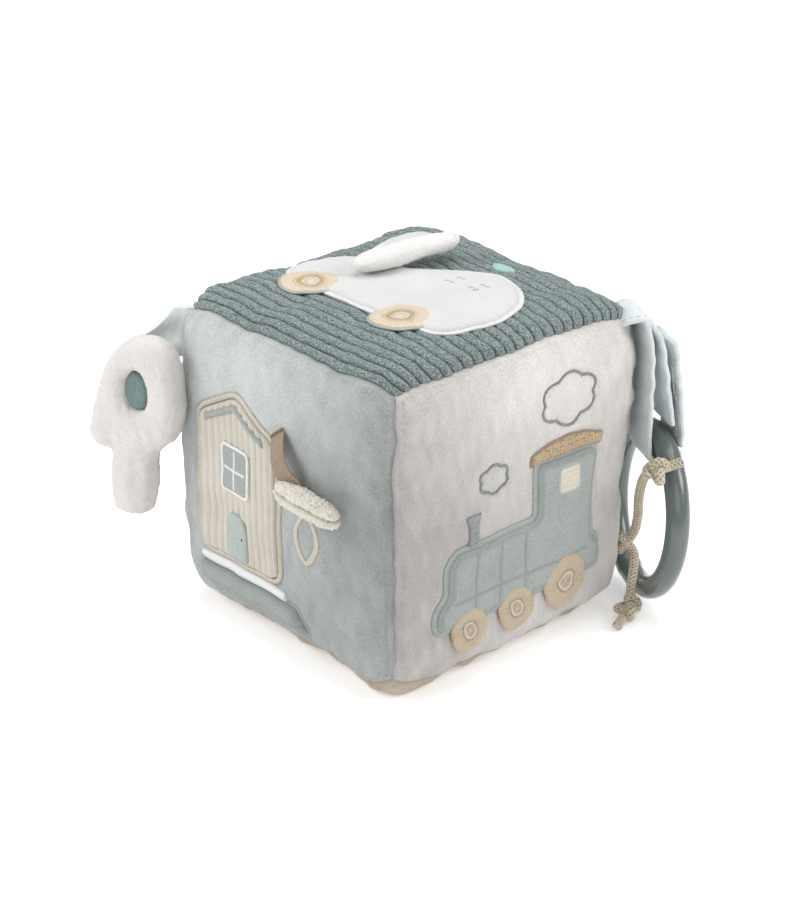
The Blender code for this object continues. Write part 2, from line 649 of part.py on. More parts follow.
def make_right():
    foot = ENGINE_AT[1] - ENGINE_HEIGHT / 2
    wheels = (("drive_wheel", ENGINE_AT[0] + 0.23 * ENGINE_WIDTH, WHEEL_RADIUS),
              ("middle_wheel", ENGINE_AT[0] - 0.06 * ENGINE_WIDTH, SMALL_WHEEL_RADIUS),
              ("front_wheel", ENGINE_AT[0] - 0.33 * ENGINE_WIDTH, SMALL_WHEEL_RADIUS))
    holes = []
    for name, along, radius in wheels:
        at = (along, foot - SMALL_WHEEL_RADIUS * 0.35 + (radius - SMALL_WHEEL_RADIUS))
        disc(name, "right", at, radius, TAN, thick=WHEEL_THICK)
        holes.append(disc(name + "_cut", "right", at, radius + FIT_GAP, None, level=-CUT_OVER,
                          thick=WHEEL_THICK + 4 * CUT_OVER, cutter=True))
    engine = round_corners(placed(ENGINE_SHARES, ENGINE_WIDTH, ENGINE_HEIGHT, ENGINE_AT), ENGINE_CORNER)
    patch("engine_body", engine, "right", PALE_BLUE, FIT_GAP, PATCH_THICK, holes=holes)
    cab_middle = ENGINE_AT[0] + 0.23 * ENGINE_WIDTH
    cab_top = ENGINE_AT[1] + ENGINE_HEIGHT / 2
    roof_at = (cab_middle, cab_top + FIT_GAP + ROOF_HEIGHT / 2)
    roof = round_corners(placed(ROOF_ARCH_SHARES, ROOF_LENGTH, ROOF_HEIGHT, roof_at), BADGE_CORNER / 2)
    patch("cab_roof", roof, "right", TAN_WEAVE, FIT_GAP, PATCH_THICK)
    window_at = (cab_middle, cab_top - CAB_WINDOW / 2 - CAB_WINDOW / 3)
    window = round_corners(placed(RECT_SHARES, CAB_WINDOW, CAB_WINDOW, window_at), BADGE_CORNER)
    patch("cab_window", window, "right", CREAM_SATIN, PATCH_THICK + 2 * FIT_GAP, PATCH_THICK)
    chimney_foot = ENGINE_AT[1] + 0.08 * ENGINE_HEIGHT + FIT_GAP
    chimney_at = (ENGINE_AT[0] - 0.31 * ENGINE_WIDTH, chimney_foot + CHIMNEY_HEIGHT / 2)
    chimney = placed(CHIMNEY_SHARES, CHIMNEY_WIDTH, CHIMNEY_HEIGHT, chimney_at)
    patch("engine_chimney", chimney, "right", GREY_STITCH, FIT_GAP, PATCH_THICK)
    small_at = (chimney_at[0] + PUFF_RADIUS, chimney_at[1] + CHIMNEY_HEIGHT / 2 + PUFF_RADIUS)
    large_at = (small_at[0] + 3.6 * PUFF_RADIUS, small_at[1] + 1.9 * PUFF_RADIUS)
    border("steam_puff_small", puff_outline(small_at, 0.7 * PUFF_RADIUS), "right", GREY_STITCH,
           radius=STITCH_RADIUS, spacing=PUFF_RADIUS / 6)
    border("steam_puff_large", puff_outline(large_at, 1.3 * PUFF_RADIUS), "right", GREY_STITCH,
           radius=STITCH_RADIUS, spacing=PUFF_RADIUS / 5)


# Top panel
RABBIT_SHARES = [(-0.36, -0.49), (-0.02, -0.50), (0.32, -0.49), (0.45, -0.43), (0.49, -0.24), (0.48, -0.03),
                 (0.40, 0.16), (0.26, 0.27), (0.10, 0.26), (-0.04, 0.13), (-0.12, 0.01), (-0.20, 0.0),
                 (-0.24, 0.08), (-0.27, 0.25), (-0.34, 0.42), (-0.43, 0.50), (-0.49, 0.42), (-0.46, 0.22),
                 (-0.40, 0.01), (-0.47, -0.11), (-0.51, -0.27), (-0.47, -0.42)]


def make_top():
    on_ribs = RIB_HIGH - PANEL_THICK + FIT_GAP
    rabbit = smooth_path(placed(RABBIT_SHARES, RABBIT_WIDTH, RABBIT_HEIGHT, RABBIT_AT), 3, closed=True)
    foot = RABBIT_AT[1] - 0.48 * RABBIT_HEIGHT
    holes = []
    for name, share in (("left_disc", -0.29), ("right_disc", 0.25)):
        at = (RABBIT_AT[0] + share * RABBIT_WIDTH, foot)
        disc(name, "top", at, DISC_RADIUS, CREAM_SATIN, level=on_ribs)
        holes.append(disc(name + "_cut", "top", at, DISC_RADIUS + FIT_GAP, None, level=-CUT_OVER,
                          thick=DISC_THICK + 4 * CUT_OVER, cutter=True))
    patch("rabbit_body", rabbit, "top", WHITE_PLUSH, on_ribs, PATCH_THICK, holes=holes)
    tuft_at = (RABBIT_AT[0] + 0.10 * RABBIT_WIDTH, RABBIT_AT[1] + 0.42 * RABBIT_HEIGHT)
    tuft = smooth_path(placed(LEAF_SHARES, TUFT_WIDTH, TUFT_HEIGHT, tuft_at), 2, closed=True)
    patch("mint_leaf", tuft, "top", MINT, on_ribs, PATCH_THICK)
    ear_base = Vector((EAR_BASE[0], EAR_BASE[1], CENTRE_Z + crown("top", 0, 0, on_ribs + PATCH_THICK + FIT_GAP)))
    turn = Matrix.Rotation(radians(90 - EAR_TURN), 4, "Z") @ Matrix.Rotation(-radians(EAR_LIFT), 4, "Y")
    lift = Matrix.Translation((EAR_LENGTH / 2, 0, EAR_THICK / 2))
    ear = padded_roll("ear_flap", EAR_LENGTH, EAR_WIDTH / 2, EAR_THICK / 2,
                      Matrix.Translation(ear_base) @ turn @ lift, WHITE_PLUSH)
    pivot("ear_pivot", ear_base, [ear])


# Key tag
LEFT_OUT = Vector((-1, -1, 0)).normalized()      # outwards through the left front seam
TOWARDS = Vector((1, -1, 0)).normalized()        # square to that, towards the viewer
UP = Vector((0, 0, 1))
KEY_OUTER_SHARES = [(0.30, -0.47), (0.44, -0.49), (0.51, -0.39), (0.49, -0.17), (0.39, 0.08), (0.27, 0.31),
                    (0.09, 0.46), (-0.12, 0.51), (-0.35, 0.49), (-0.45, 0.32), (-0.47, 0.08), (-0.47, -0.15),
                    (-0.37, -0.33), (-0.20, -0.42)]
KEY_SHAFT_SHARES = [(-0.38, 0.70, 0.27), (-0.34, 0.76, 0.67), (-0.06, 0.60, 1.0)]   # sides, and how far down
KEY_STRAP_SHARES = [(0.0, 1.0), (1.0, 1.54), (1.0, 0.525), (0.0, 0.0), (-0.33, -0.30), (-0.24, -0.12),
                    (-0.13, 0.12), (-0.06, 0.36), (0.0, 0.42)]           # out from the seam, and down


def make_key():
    strap_axis = seam_reach(CENTRE_Z) + FIT_GAP + KEY_STRAP_THICK / 2
    top = CORNER_Z - KEY_STRAP_TOP
    strap_outline = [(strap_axis + a * KEY_STRAP_LENGTH, top - b * KEY_STRAP_WIDTH) for a, b in KEY_STRAP_SHARES]
    frame = Matrix((LEFT_OUT, UP, LEFT_OUT.cross(UP))).transposed().to_4x4()
    strap = slab("key_strap", strap_outline, KEY_STRAP_THICK / 2, frame, BLUE_GREY)
    knuckle = tube("key_strap_knuckle", [LEFT_OUT * strap_axis + UP * (top - KEY_STRAP_WIDTH - TUCK),
                                         LEFT_OUT * strap_axis + UP * (top - TUCK)], KEY_STRAP_THICK / 2, None,
                   resolution=2, cutter=True)
    boolean(strap, knuckle, "UNION")

    angle = radians(KEY_TURN)
    across = LEFT_OUT * cos(angle) - TOWARDS * sin(angle)
    facing = TOWARDS * cos(angle) + LEFT_OUT * sin(angle)
    middle = (LEFT_OUT * (seam_reach(CENTRE_Z) + KEY_REACH) + TOWARDS * KEY_FORWARD + UP * (CORNER_Z - KEY_DROP))
    key_frame = Matrix.Translation(middle) @ Matrix((across, UP, -facing)).transposed().to_4x4()
    hole_at = np.array([-KEY_HEAD_WIDTH * 0.03, KEY_HEAD_HEIGHT * 0.055])

    def build(shape):
        outer = np.array(placed(KEY_OUTER_SHARES, KEY_HEAD_WIDTH, KEY_HEAD_HEIGHT, (0, 0)))
        count = len(outer)
        start = np.arctan2(outer[:, 1] - hole_at[1], outer[:, 0] - hole_at[0])
        hole = hole_at + np.stack([KEY_HOLE_WIDTH / 2 * np.cos(start), KEY_HOLE_HEIGHT / 2 * np.sin(start)], 1)
        rings = [[shape.verts.new((*place, 0)) for place in hole * (1 - share) + outer * share]
                 for share in (0.0, 0.45, 1.0)]
        for inside, outside in zip(rings[:-1], rings[1:]):
            for i in range(count):
                j = (i + 1) % count
                shape.faces.new((inside[i], outside[i], outside[j], inside[j]))
        left, right = rings[-1][-1], rings[-1][0]
        for near, far, share in KEY_SHAFT_SHARES:
            low = -KEY_HEAD_HEIGHT / 2 - KEY_SHAFT_LENGTH * share
            new_left = shape.verts.new((near * KEY_SHAFT_WIDTH, low, 0))
            new_right = shape.verts.new((far * KEY_SHAFT_WIDTH, low, 0))
            shape.faces.new((left, new_left, new_right, right))
            left, right = new_left, new_right
        bmesh.ops.recalc_face_normals(shape, faces=shape.faces)

    key = add_object("key_tag", mesh_from(build, "key_tag"), WHITE_PLUSH)
    key.matrix_world = key_frame
    wall = key.modifiers.new("stuffing", "SOLIDIFY")
    wall.thickness = KEY_THICK
    wall.offset = 0
    soft = key.modifiers.new("soft", "SUBSURF")
    soft.levels = soft.render_levels = 1

    patch_data = mesh_from(lambda shape: bmesh.ops.create_cone(
        shape, cap_ends=True, segments=16, radius1=1, radius2=1, depth=1), "key_hole_patch")
    inner, tall = (size / 2 * HOLE_PATCH_SHARE for size in (KEY_HOLE_WIDTH, KEY_HOLE_HEIGHT))
    size = Matrix.Diagonal((inner, tall, HOLE_PATCH_THICK, 1))
    patch_data.transform(key_frame @ Matrix.Translation((*hole_at, -HOLE_PATCH_THICK)) @ size)
    hole_patch = add_object("key_hole_patch", patch_data, TEAL)
    strap_pivot = pivot("key_strap_pivot", LEFT_OUT * strap_axis + UP * top, [strap])
    strap_end = LEFT_OUT * (strap_axis + KEY_STRAP_LENGTH) + TOWARDS * (KEY_STRAP_THICK / 2 + FIT_GAP) + UP * middle.z
    pivot("key_tag_pivot", strap_end, [key, hole_patch], strap_pivot)


# Ring and its fabric loop
RIGHT_OUT = Vector((1, 1, 0)).normalized()       # outwards through the right back seam
LOOP_OUT = RIGHT_OUT * cos(radians(LOOP_TURN)) - TOWARDS * sin(radians(LOOP_TURN))
LOOP_WIDE = TOWARDS * cos(radians(LOOP_TURN)) + RIGHT_OUT * sin(radians(LOOP_TURN))
DUAL_POWER = FORM_POWER / (FORM_POWER - 1)
EDGE_OUT = HALF_WIDTH * (LOOP_OUT.x ** DUAL_POWER + LOOP_OUT.y ** DUAL_POWER) ** (1 / DUAL_POWER)
LOOP_FLOOR = CORNER_Z - LOOP_DROP
INNER_OUT = EDGE_OUT + FIT_GAP + BAND_THICK / 2          # middle of the inner arm
LOOP_MIDDLE = INNER_OUT + LOOP_HALF
ARM_SPAN = CORNER_Z - LOOP_FLOOR
BEND_HEIGHT = 0.95 * LOOP_HALF
HINGE = (INNER_OUT + 2 * LOOP_HALF, LOOP_FLOOR + BEND_HEIGHT)


def loop_matrix():
    frame = Matrix((LOOP_OUT, UP, LOOP_OUT.cross(UP))).transposed().to_4x4()
    return Matrix.Translation(LOOP_WIDE * LOOP_ASIDE) @ frame


def out_and_up(shares):
    """Places in the loop's plane, as shares of its half width out and of its fall down."""
    return [(INNER_OUT + a * LOOP_HALF, CORNER_Z - b * ARM_SPAN) for a, b in shares]


ROOT_SHARES = [(-0.72, -0.022)]
SHORT_ARM_SHARES = [(-0.32, 0.004), (0.13, 0.061), (0.48, 0.141), (0.73, 0.264), (1.14, 0.556), (1.42, 0.736)]
LONG_ARM_SHARES = [(-0.42, 0.022), (-0.27, 0.069), (-0.16, 0.132), (-0.05, 0.231), (0.0, 0.34), (0.0, 0.55),
                   (0.0, 0.72), (0.0, 0.86)]
FASTENER_SHARES = [(1.95, 0.755), (1.83, 0.56), (1.49, 0.275), (1.36, 0.177)]


def make_loop():
    matrix = loop_matrix()
    half = BAND_WIDTH / 2
    root = out_and_up(ROOT_SHARES)
    short = smooth_path(root + out_and_up(SHORT_ARM_SHARES), 3)
    stop = 1.05 * (BAND_THICK / 2 + FIT_GAP)
    turn = np.linspace(0, pi, 10)[:-1]
    bend = [(LOOP_MIDDLE - LOOP_HALF * cos(t), HINGE[1] - BEND_HEIGHT * sin(t)) for t in turn]
    bend = [point for point in bend if np.linalg.norm(np.subtract(point, HINGE)) > 1.6 * stop]
    towards = np.subtract(HINGE, bend[-1])
    bend.append(tuple(HINGE - towards / np.linalg.norm(towards) * stop))
    long = np.vstack([smooth_path(root + out_and_up(LONG_ARM_SHARES), 2), bend])
    band = strip("ring_strap", long, BAND_THICK, half, matrix, BLUE_GREY)
    arm = strip("ring_strap_short_arm", short, BAND_THICK, half - TUCK, matrix, None, True)
    boolean(band, arm, "UNION")
    at = LOOP_WIDE * LOOP_ASIDE

    def knuckle(name, place, owner, half_width):
        middle = at + LOOP_OUT * place[0] + UP * place[1]
        wide = LOOP_WIDE * half_width
        pin = tube(name, [middle - wide, middle + wide], BAND_THICK / 2, None, resolution=3, cutter=True)
        boolean(owner, pin, "UNION")
        return middle

    root_place = knuckle("ring_strap_root", root[0], band, half - 2 * TUCK)
    flap_line = smooth_path([HINGE] + out_and_up(FASTENER_SHARES), 3)
    flap = strip("ring_strap_fastener", flap_line, BAND_THICK, half, matrix, BLUE_GREY)
    hinge_place = knuckle("fastener_knuckle", HINGE, flap, half - TUCK)

    def pad(name, line, side, mat):
        line = np.array(line)
        along = np.gradient(line, axis=0)
        along /= np.linalg.norm(along, axis=1)[:, None]
        away = np.stack([-along[:, 1], along[:, 0]], 1) * side * (BAND_THICK / 2 + FIT_GAP + PAD_THICK / 2)
        return strip(name, line + away, PAD_THICK, PAD_WIDTH / 2, matrix, mat)

    hook = pad("hook_pad", short[11:16], 1, HOOK)
    fuzz = pad("loop_pad", flap_line[6:10], 1, HOOK)
    strap_pivot = pivot("ring_strap_pivot", root_place, [band, hook])
    pivot("fastener_pivot", hinge_place, [flap, fuzz], strap_pivot)
    return strap_pivot


def ring_place():
    """The ring's centre, its direction up in its own plane, and its axis."""
    lean = radians(RING_LEAN)
    upward = UP * cos(lean) + LOOP_OUT * sin(lean)
    axis = LOOP_WIDE.cross(upward)
    edge_sag = RING_RADIUS - sqrt(RING_RADIUS ** 2 - (BAND_WIDTH / 2) ** 2)
    top_z = LOOP_FLOOR + BAND_THICK / 2 + RING_SLACK + edge_sag + RING_TUBE
    top_out = INNER_OUT + BAND_THICK / 2 + RING_SLACK + RING_TUBE
    centre = LOOP_OUT * (top_out - RING_RADIUS * sin(lean)) + UP * (top_z - RING_RADIUS * cos(lean))
    return centre + LOOP_WIDE * LOOP_ASIDE, upward, axis


def make_ring(strap_pivot):
    centre, upward, axis = ring_place()
    gap = CLASP_GAP / RING_RADIUS
    count = 46
    turn = radians(CLASP_ANGLE) + np.linspace(gap / 2, 2 * pi - gap / 2, count)
    points = [centre + (LOOP_WIDE * cos(t) + upward * sin(t)) * RING_RADIUS for t in turn]
    from_clasp = np.minimum(np.arange(count), count - 1 - np.arange(count))
    radii = 1 + CLASP_SHARE * (from_clasp < 3)
    ring = tube("teether_ring", points, RING_TUBE, RING_PLASTIC, resolution=3, radii=radii)
    pivot("ring_pivot", centre, [ring], strap_pivot)


# Cord ends: routes in metres, from the seam to the middle of the knot and on to the tail's end
UPPER_CORD = [(0.0579, 0.0579, 0.0260), (0.0601, 0.0601, 0.0262), (0.0636, 0.0590, 0.0300),
              (0.0652, 0.0540, 0.0390), (0.0660, 0.0518, 0.0490), (0.0700, 0.0508, 0.0575),
              (0.0790, 0.0464, 0.0634)]
UPPER_TAIL = [(0.0790, 0.0464, 0.0634), (0.0816, 0.0502, 0.0650), (0.0842, 0.0540, 0.0665)]
LOWER_CORD = [(0.0579, 0.0579, 0.0205), (0.0601, 0.0601, 0.0204), (0.0640, 0.0570, 0.0200),
              (0.0662, 0.0512, 0.0172), (0.0678, 0.0480, 0.0116), (0.0690, 0.0455, 0.0051)]
LOWER_TAIL = [(0.0690, 0.0455, 0.0051), (0.0705, 0.0412, 0.0032), (0.0722, 0.0366, 0.0022)]


def cut_back(points, by):
    """Takes a length off the end of a line."""
    points = np.array(points, float)
    while len(points) > 2 and np.linalg.norm(points[-1] - points[-2]) < by:
        by -= np.linalg.norm(points[-1] - points[-2])
        points = points[:-1]
    step = points[-1] - points[-2]
    points[-1] -= step / np.linalg.norm(step) * by
    return points


def make_cords():
    for name, cord, tail in (("pull_cord_upper", UPPER_CORD, UPPER_TAIL), ("pull_cord_lower", LOWER_CORD, LOWER_TAIL)):
        line = even_path(smooth_path(cord, 8), 4 * CORD_RADIUS)
        line = np.vstack([cord[0], line[1:]])
        tube(name, cut_back(line, KNOT_RADIUS + FIT_GAP), CORD_RADIUS, BRAID, resolution=2)
        knot = add_object(name + "_knot", ball_mesh(name + "_knot", KNOT_RADIUS, 12, 8), BRAID)
        knot.location = cord[-1]
        end = tube(name + "_tail", even_path(smooth_path(tail, 4), 3 * CORD_RADIUS), CORD_RADIUS, None,
                   resolution=2, cutter=True)
        boolean(knot, end, "UNION")


make_panels()
make_core()
make_rattle()
make_front()
make_ribbon()
make_right()
make_top()
make_key()
make_ring(make_loop())
make_cords()
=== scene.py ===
import bpy
import bmesh
import json
import math
import numpy as np
from mathutils import Matrix, Vector
from mathutils.geometry import delaunay_2d_cdt


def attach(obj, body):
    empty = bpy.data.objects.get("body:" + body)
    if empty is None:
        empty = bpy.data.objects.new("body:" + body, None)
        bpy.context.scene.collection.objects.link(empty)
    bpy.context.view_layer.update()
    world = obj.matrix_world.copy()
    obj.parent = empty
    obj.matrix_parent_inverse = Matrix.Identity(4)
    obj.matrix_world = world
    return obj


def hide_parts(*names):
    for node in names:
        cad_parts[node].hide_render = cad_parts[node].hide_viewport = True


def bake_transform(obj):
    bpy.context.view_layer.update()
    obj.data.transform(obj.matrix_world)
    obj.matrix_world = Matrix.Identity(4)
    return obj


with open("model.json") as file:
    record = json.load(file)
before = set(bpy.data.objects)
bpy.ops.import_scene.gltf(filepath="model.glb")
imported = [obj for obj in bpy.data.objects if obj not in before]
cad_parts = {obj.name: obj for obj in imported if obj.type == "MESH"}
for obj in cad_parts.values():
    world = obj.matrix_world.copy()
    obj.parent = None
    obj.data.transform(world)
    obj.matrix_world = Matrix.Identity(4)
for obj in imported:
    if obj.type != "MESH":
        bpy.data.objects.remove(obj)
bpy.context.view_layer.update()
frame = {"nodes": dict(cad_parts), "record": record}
scene = bpy.context.scene
mm = 0.001
zAxis = np.array([0.0, 0.0, 1.0])


def unit(vectors):
    return vectors / np.maximum(np.linalg.norm(vectors, axis=-1, keepdims=True), 1e-12)


# Camera and studio
view = dict(azimuth=48.345, elevation=24.782, roll=-0.1356, distance=0.8410, aim=(0, 0, 60.7 * mm),
            focal=2325.5, middle=(407.93, 444.88), picture=(800, 900), sensor=36.0, near=0.01, far=50)


def makeCamera():
    # looks at the block's middle from an azimuth and an elevation; focal and middle are in the photo's pixels
    a, e, r = (math.radians(view[k]) for k in ("azimuth", "elevation", "roll"))
    back = Vector((math.sin(a) * math.cos(e), -math.cos(a) * math.cos(e), math.sin(e)))
    level = Vector((math.cos(a), math.sin(a), 0))
    right = level * math.cos(r) + back.cross(level) * math.sin(r)
    data = bpy.data.cameras.new("studioCamera")
    data.sensor_fit = "VERTICAL"
    wide, high = view["picture"]
    data.sensor_height = view["sensor"]
    data.lens = view["focal"] * view["sensor"] / high
    data.shift_x = (wide / 2 - view["middle"][0]) / high
    data.shift_y = (view["middle"][1] - high / 2) / high
    data.clip_start, data.clip_end = view["near"], view["far"]
    made = bpy.data.objects.new("studioCamera", data)
    scene.collection.objects.link(made)
    turn = Matrix((right, back.cross(right), back)).transposed().to_4x4()
    made.matrix_world = Matrix.Translation(Vector(view["aim"]) + back * view["distance"]) @ turn
    scene.camera = made


studio = dict(
    world=0.42, floor=0.95, floorReach=6.0, floorRoughness=0.9, exposure=0.0,
    glow=(0.3, 0.28), farGlow=(1.1, 0.65),      # distance, strength
    lights=(dict(name="leftLight", place=(-0.26, -0.40, 0.42), size=0.26, power=1.45, tint=(1, 1, 1)),
            dict(name="rightLight", place=(0.48, 0.30, 0.48), size=0.3, power=1.75, tint=(1, 0.995, 0.99)),
            dict(name="frontLight", place=(0.95, -0.95, 0.95), size=0.9, power=3.0, tint=(1, 1, 1)),
            dict(name="topLight", place=(-0.1, 0.25, 1.4), size=1.1, power=9.5, tint=(1, 1, 1))))


def makeStudio():
    # four area lights, a wall that looks white but lights less, and a floor that glows more farther out
    world = scene.world or bpy.data.worlds.new("studioWorld")
    scene.world = world
    world.use_nodes = True
    tree = world.node_tree
    lit = tree.nodes["Background"]
    lit.inputs["Color"].default_value = (1, 1, 1, 1)
    lit.inputs["Strength"].default_value = studio["world"]
    seen = addNode(tree, "Background", None, Color=(1, 1, 1, 1), Strength=1.0)
    both = addNode(tree, "MixShader", None, i0=addNode(tree, "LightPath").outputs["Is Camera Ray"],
                   i1=lit.outputs[0], i2=seen.outputs[0])
    tree.links.new(both.outputs[0], tree.nodes["World Output"].inputs["Surface"])
    for lamp in studio["lights"]:
        data = bpy.data.lights.new(lamp["name"], "AREA")
        data.size, data.energy, data.color = lamp["size"], lamp["power"], lamp["tint"]
        made = bpy.data.objects.new(lamp["name"], data)
        scene.collection.objects.link(made)
        away = Vector(lamp["place"])
        turn = (away - Vector(view["aim"])).to_track_quat("Z", "Y").to_matrix().to_4x4()
        made.matrix_world = Matrix.Translation(away) @ turn
    corners = np.array([(-1, -1, 0), (1, -1, 0), (1, 1, 0), (-1, 1, 0)]) * studio["floorReach"]
    floor = makeMesh("studioFloor", corners, [np.array([[0, 1, 2, 3]])])
    paper = bpy.data.materials.new("studioPaper")
    paper.use_nodes = True
    tree = paper.node_tree
    shader = tree.nodes["Principled BSDF"]
    shader.inputs["Base Color"].default_value = (studio["floor"],) * 3 + (1,)
    shader.inputs["Roughness"].default_value = studio["floorRoughness"]
    shader.inputs["Emission Color"].default_value = (1, 1, 1, 1)
    place = addNode(tree, "TexCoord").outputs["Object"]
    away = addNode(tree, "VectorMath", dict(operation="LENGTH"), i0=place).outputs["Value"]
    (near, low), (far, high) = studio["glow"], studio["farGlow"]
    glow = addNode(tree, "MapRange", None, Value=away, From_Min=near, From_Max=far, To_Min=low, To_Max=high)
    tree.links.new(glow.outputs["Result"], shader.inputs["Emission Strength"])
    floor.data.materials.append(paper)
    scene.view_settings.view_transform = "Standard"
    scene.view_settings.exposure = studio["exposure"]


# Meshes
def makeMesh(name, points, faces, fields=None):
    # faces is a list of index arrays, and a field has one number for each point
    mesh = bpy.data.meshes.new(name)
    loops = np.concatenate([f.ravel() for f in faces]).astype(np.int32)
    sizes = np.concatenate([np.full(len(f), f.shape[1]) for f in faces])
    starts = np.concatenate([[0], np.cumsum(sizes)[:-1]]).astype(np.int32)
    mesh.vertices.add(len(points))
    mesh.vertices.foreach_set("co", np.asarray(points, np.float32).ravel())
    mesh.loops.add(len(loops))
    mesh.loops.foreach_set("vertex_index", loops)
    mesh.polygons.add(len(sizes))
    mesh.polygons.foreach_set("loop_start", starts)
    mesh.update(calc_edges=True)
    mesh.polygons.foreach_set("use_smooth", np.ones(len(sizes), bool))
    for key, values in (fields or {}).items():
        field = mesh.attributes.new(key, "FLOAT", "POINT")
        field.data.foreach_set("value", np.asarray(values, np.float32))
    mesh.validate()
    made = bpy.data.objects.new(name, mesh)
    scene.collection.objects.link(made)
    return made


def gridFaces(rows, columns, wrapRows=False, wrapColumns=False):
    # quads of a grid whose points are in row order; a wrapped side joins its last to its first
    steps = rows if wrapRows else rows - 1, columns if wrapColumns else columns - 1
    i, j = (w.ravel() for w in np.indices(steps))
    row = np.stack([i, i + 1, i + 1, i], 1) % rows
    column = np.stack([j, j, j + 1, j + 1], 1) % columns
    return row * columns + column


def capEnds(points, around):
    # closes both ends of a tube on their middles: its points with two more, and the triangles
    j = np.arange(around)
    k = (j + 1) % around
    start = len(points) - around
    first, last = np.full(around, len(points)), np.full(around, len(points) + 1)
    caps = np.vstack([np.stack([first, j, k], 1), np.stack([last, start + k, start + j], 1)])
    return np.vstack([points, points[:around].mean(0), points[start:].mean(0)]), caps


def sweep(name, path, side, out, profile, closed=False, grooveShade=None):
    # a profile of (across, outwards) pairs carried along a path; open ends close on their middles
    count, around = len(path), profile.shape[-2]
    profile = np.broadcast_to(profile, (count, around, 2))
    points = path[:, None] + side[:, None] * profile[..., :1] + out[:, None] * profile[..., 1:]
    points = points.reshape(-1, 3)
    faces = [gridFaces(count, around, closed, True)]
    if not closed:
        points, caps = capEnds(points, around)
        faces.append(caps)
    # painted shade weights for the profile's places, if the piece has them
    fields = None
    if grooveShade is not None:
        grooveShade = np.broadcast_to(grooveShade, (count, around)).ravel()
        fields = dict(grooveShade=np.append(grooveShade, np.zeros(len(points) - len(grooveShade))))
    return turnedOut(makeMesh(name, points, faces, fields))


def turnedOut(made):
    # faces point outwards
    shape = bmesh.new()
    shape.from_mesh(made.data)
    bmesh.ops.recalc_face_normals(shape, faces=shape.faces)
    shape.to_mesh(made.data)
    shape.free()
    return made


def waves(points, length, seed, count=10):
    # a smooth random height: sine waves of about one length in seeded directions
    draw = np.random.default_rng(seed)
    points = np.asarray(points)
    ways = unit(draw.normal(size=(count, points.shape[-1]))) * 2 * np.pi / length
    ways = ways * draw.uniform(0.7, 1.4, (count, 1))
    return np.sin(points @ ways.T + draw.uniform(0, 2 * np.pi, count)).sum(-1) / math.sqrt(count)


lineSteps = dict(curve=24, arc=9, chunk=64)


def smoothLine(points, step, closed=False):
    # a Catmull-Rom curve through points, with places at an even step
    points = np.array(points, float)
    ends = points[[-1]], points[[0, 1]]
    if not closed:
        ends = 2 * points[:1] - points[1:2], 2 * points[-1:] - points[-2:-1]
    p = np.vstack([ends[0], points, ends[1]])
    t = np.linspace(0, 1, lineSteps["curve"], endpoint=False)[:, None, None]
    p0, p1, p2, p3 = p[:-3], p[1:-2], p[2:-1], p[3:]
    square, cube = 2 * p0 - 5 * p1 + 4 * p2 - p3, 3 * p1 - p0 - 3 * p2 + p3
    fine = 0.5 * (2 * p1 + (p2 - p0) * t + square * t ** 2 + cube * t ** 3)
    fine = fine.transpose(1, 0, 2).reshape(-1, points.shape[1])
    return evenLine(np.vstack([fine, points[:1] if closed else points[-1:]]), step, closed)


def lengths(path):
    # the run along a path up to each of its places
    return np.concatenate([[0], np.cumsum(np.linalg.norm(np.diff(path, axis=0), axis=1))])


def evenLine(line, step, closed=False):
    # the same line with places at an even step; a closed one doesn't repeat its first
    run = lengths(line)
    marks = np.linspace(0, run[-1], max(int(round(run[-1] / step)), 3) + 1)
    even = np.stack([np.interp(marks, run, column) for column in line.T], 1)
    return even[:len(marks) - closed]


def roundedLine(points, radius, step):
    # a closed outline whose corners are arcs
    points = np.array(points, float)
    before, after = np.roll(points, 1, 0) - points, np.roll(points, -1, 0) - points
    longs = [np.linalg.norm(v, axis=1, keepdims=True) for v in (before, after)]
    reach = np.minimum(radius, np.minimum(longs[0], longs[1]) / 2)
    start, end = points + before / longs[0] * reach, points + after / longs[1] * reach
    t = np.linspace(0, 1, lineSteps["arc"])[:, None, None]
    arcs = (1 - t) ** 2 * start + 2 * t * (1 - t) * points + t ** 2 * end
    arcs = arcs.transpose(1, 0, 2).reshape(-1, 2)
    return evenLine(np.vstack([arcs, arcs[:1]]), step, True)


def lineGap(points, line, closed=True):
    # each point's distance from a line, in the flat
    a = line if closed else line[:-1]
    b = np.roll(line, -1, 0) if closed else line[1:]
    best = np.full(len(points), np.inf)
    for first in range(0, len(a), lineSteps["chunk"]):
        p = a[first:first + lineSteps["chunk"]]
        d = b[first:first + lineSteps["chunk"]] - p
        t = np.clip(((points[:, None] - p) * d).sum(-1) / np.maximum((d * d).sum(-1), 1e-18), 0, 1)
        best = np.minimum(best, np.linalg.norm(points[:, None] - p - t[..., None] * d, axis=-1).min(1))
    return best


def isInside(points, line):
    # whether each point is inside a closed line, by counting crossings
    a, b = line, np.roll(line, -1, 0)
    x, y = points[:, 0, None], points[:, 1, None]
    crosses = (a[:, 1] > y) != (b[:, 1] > y)
    rise = np.where(b[:, 1] == a[:, 1], 1e-18, b[:, 1] - a[:, 1])
    return (crosses & (x < (b[:, 0] - a[:, 0]) * (y - a[:, 1]) / rise + a[:, 0])).sum(1) % 2 == 1


def moved(outline, by):
    # an anticlockwise closed outline moved outwards
    along = unit(np.roll(outline, -1, 0) - np.roll(outline, 1, 0))
    return outline + by * np.stack([along[:, 1], -along[:, 0]], 1)


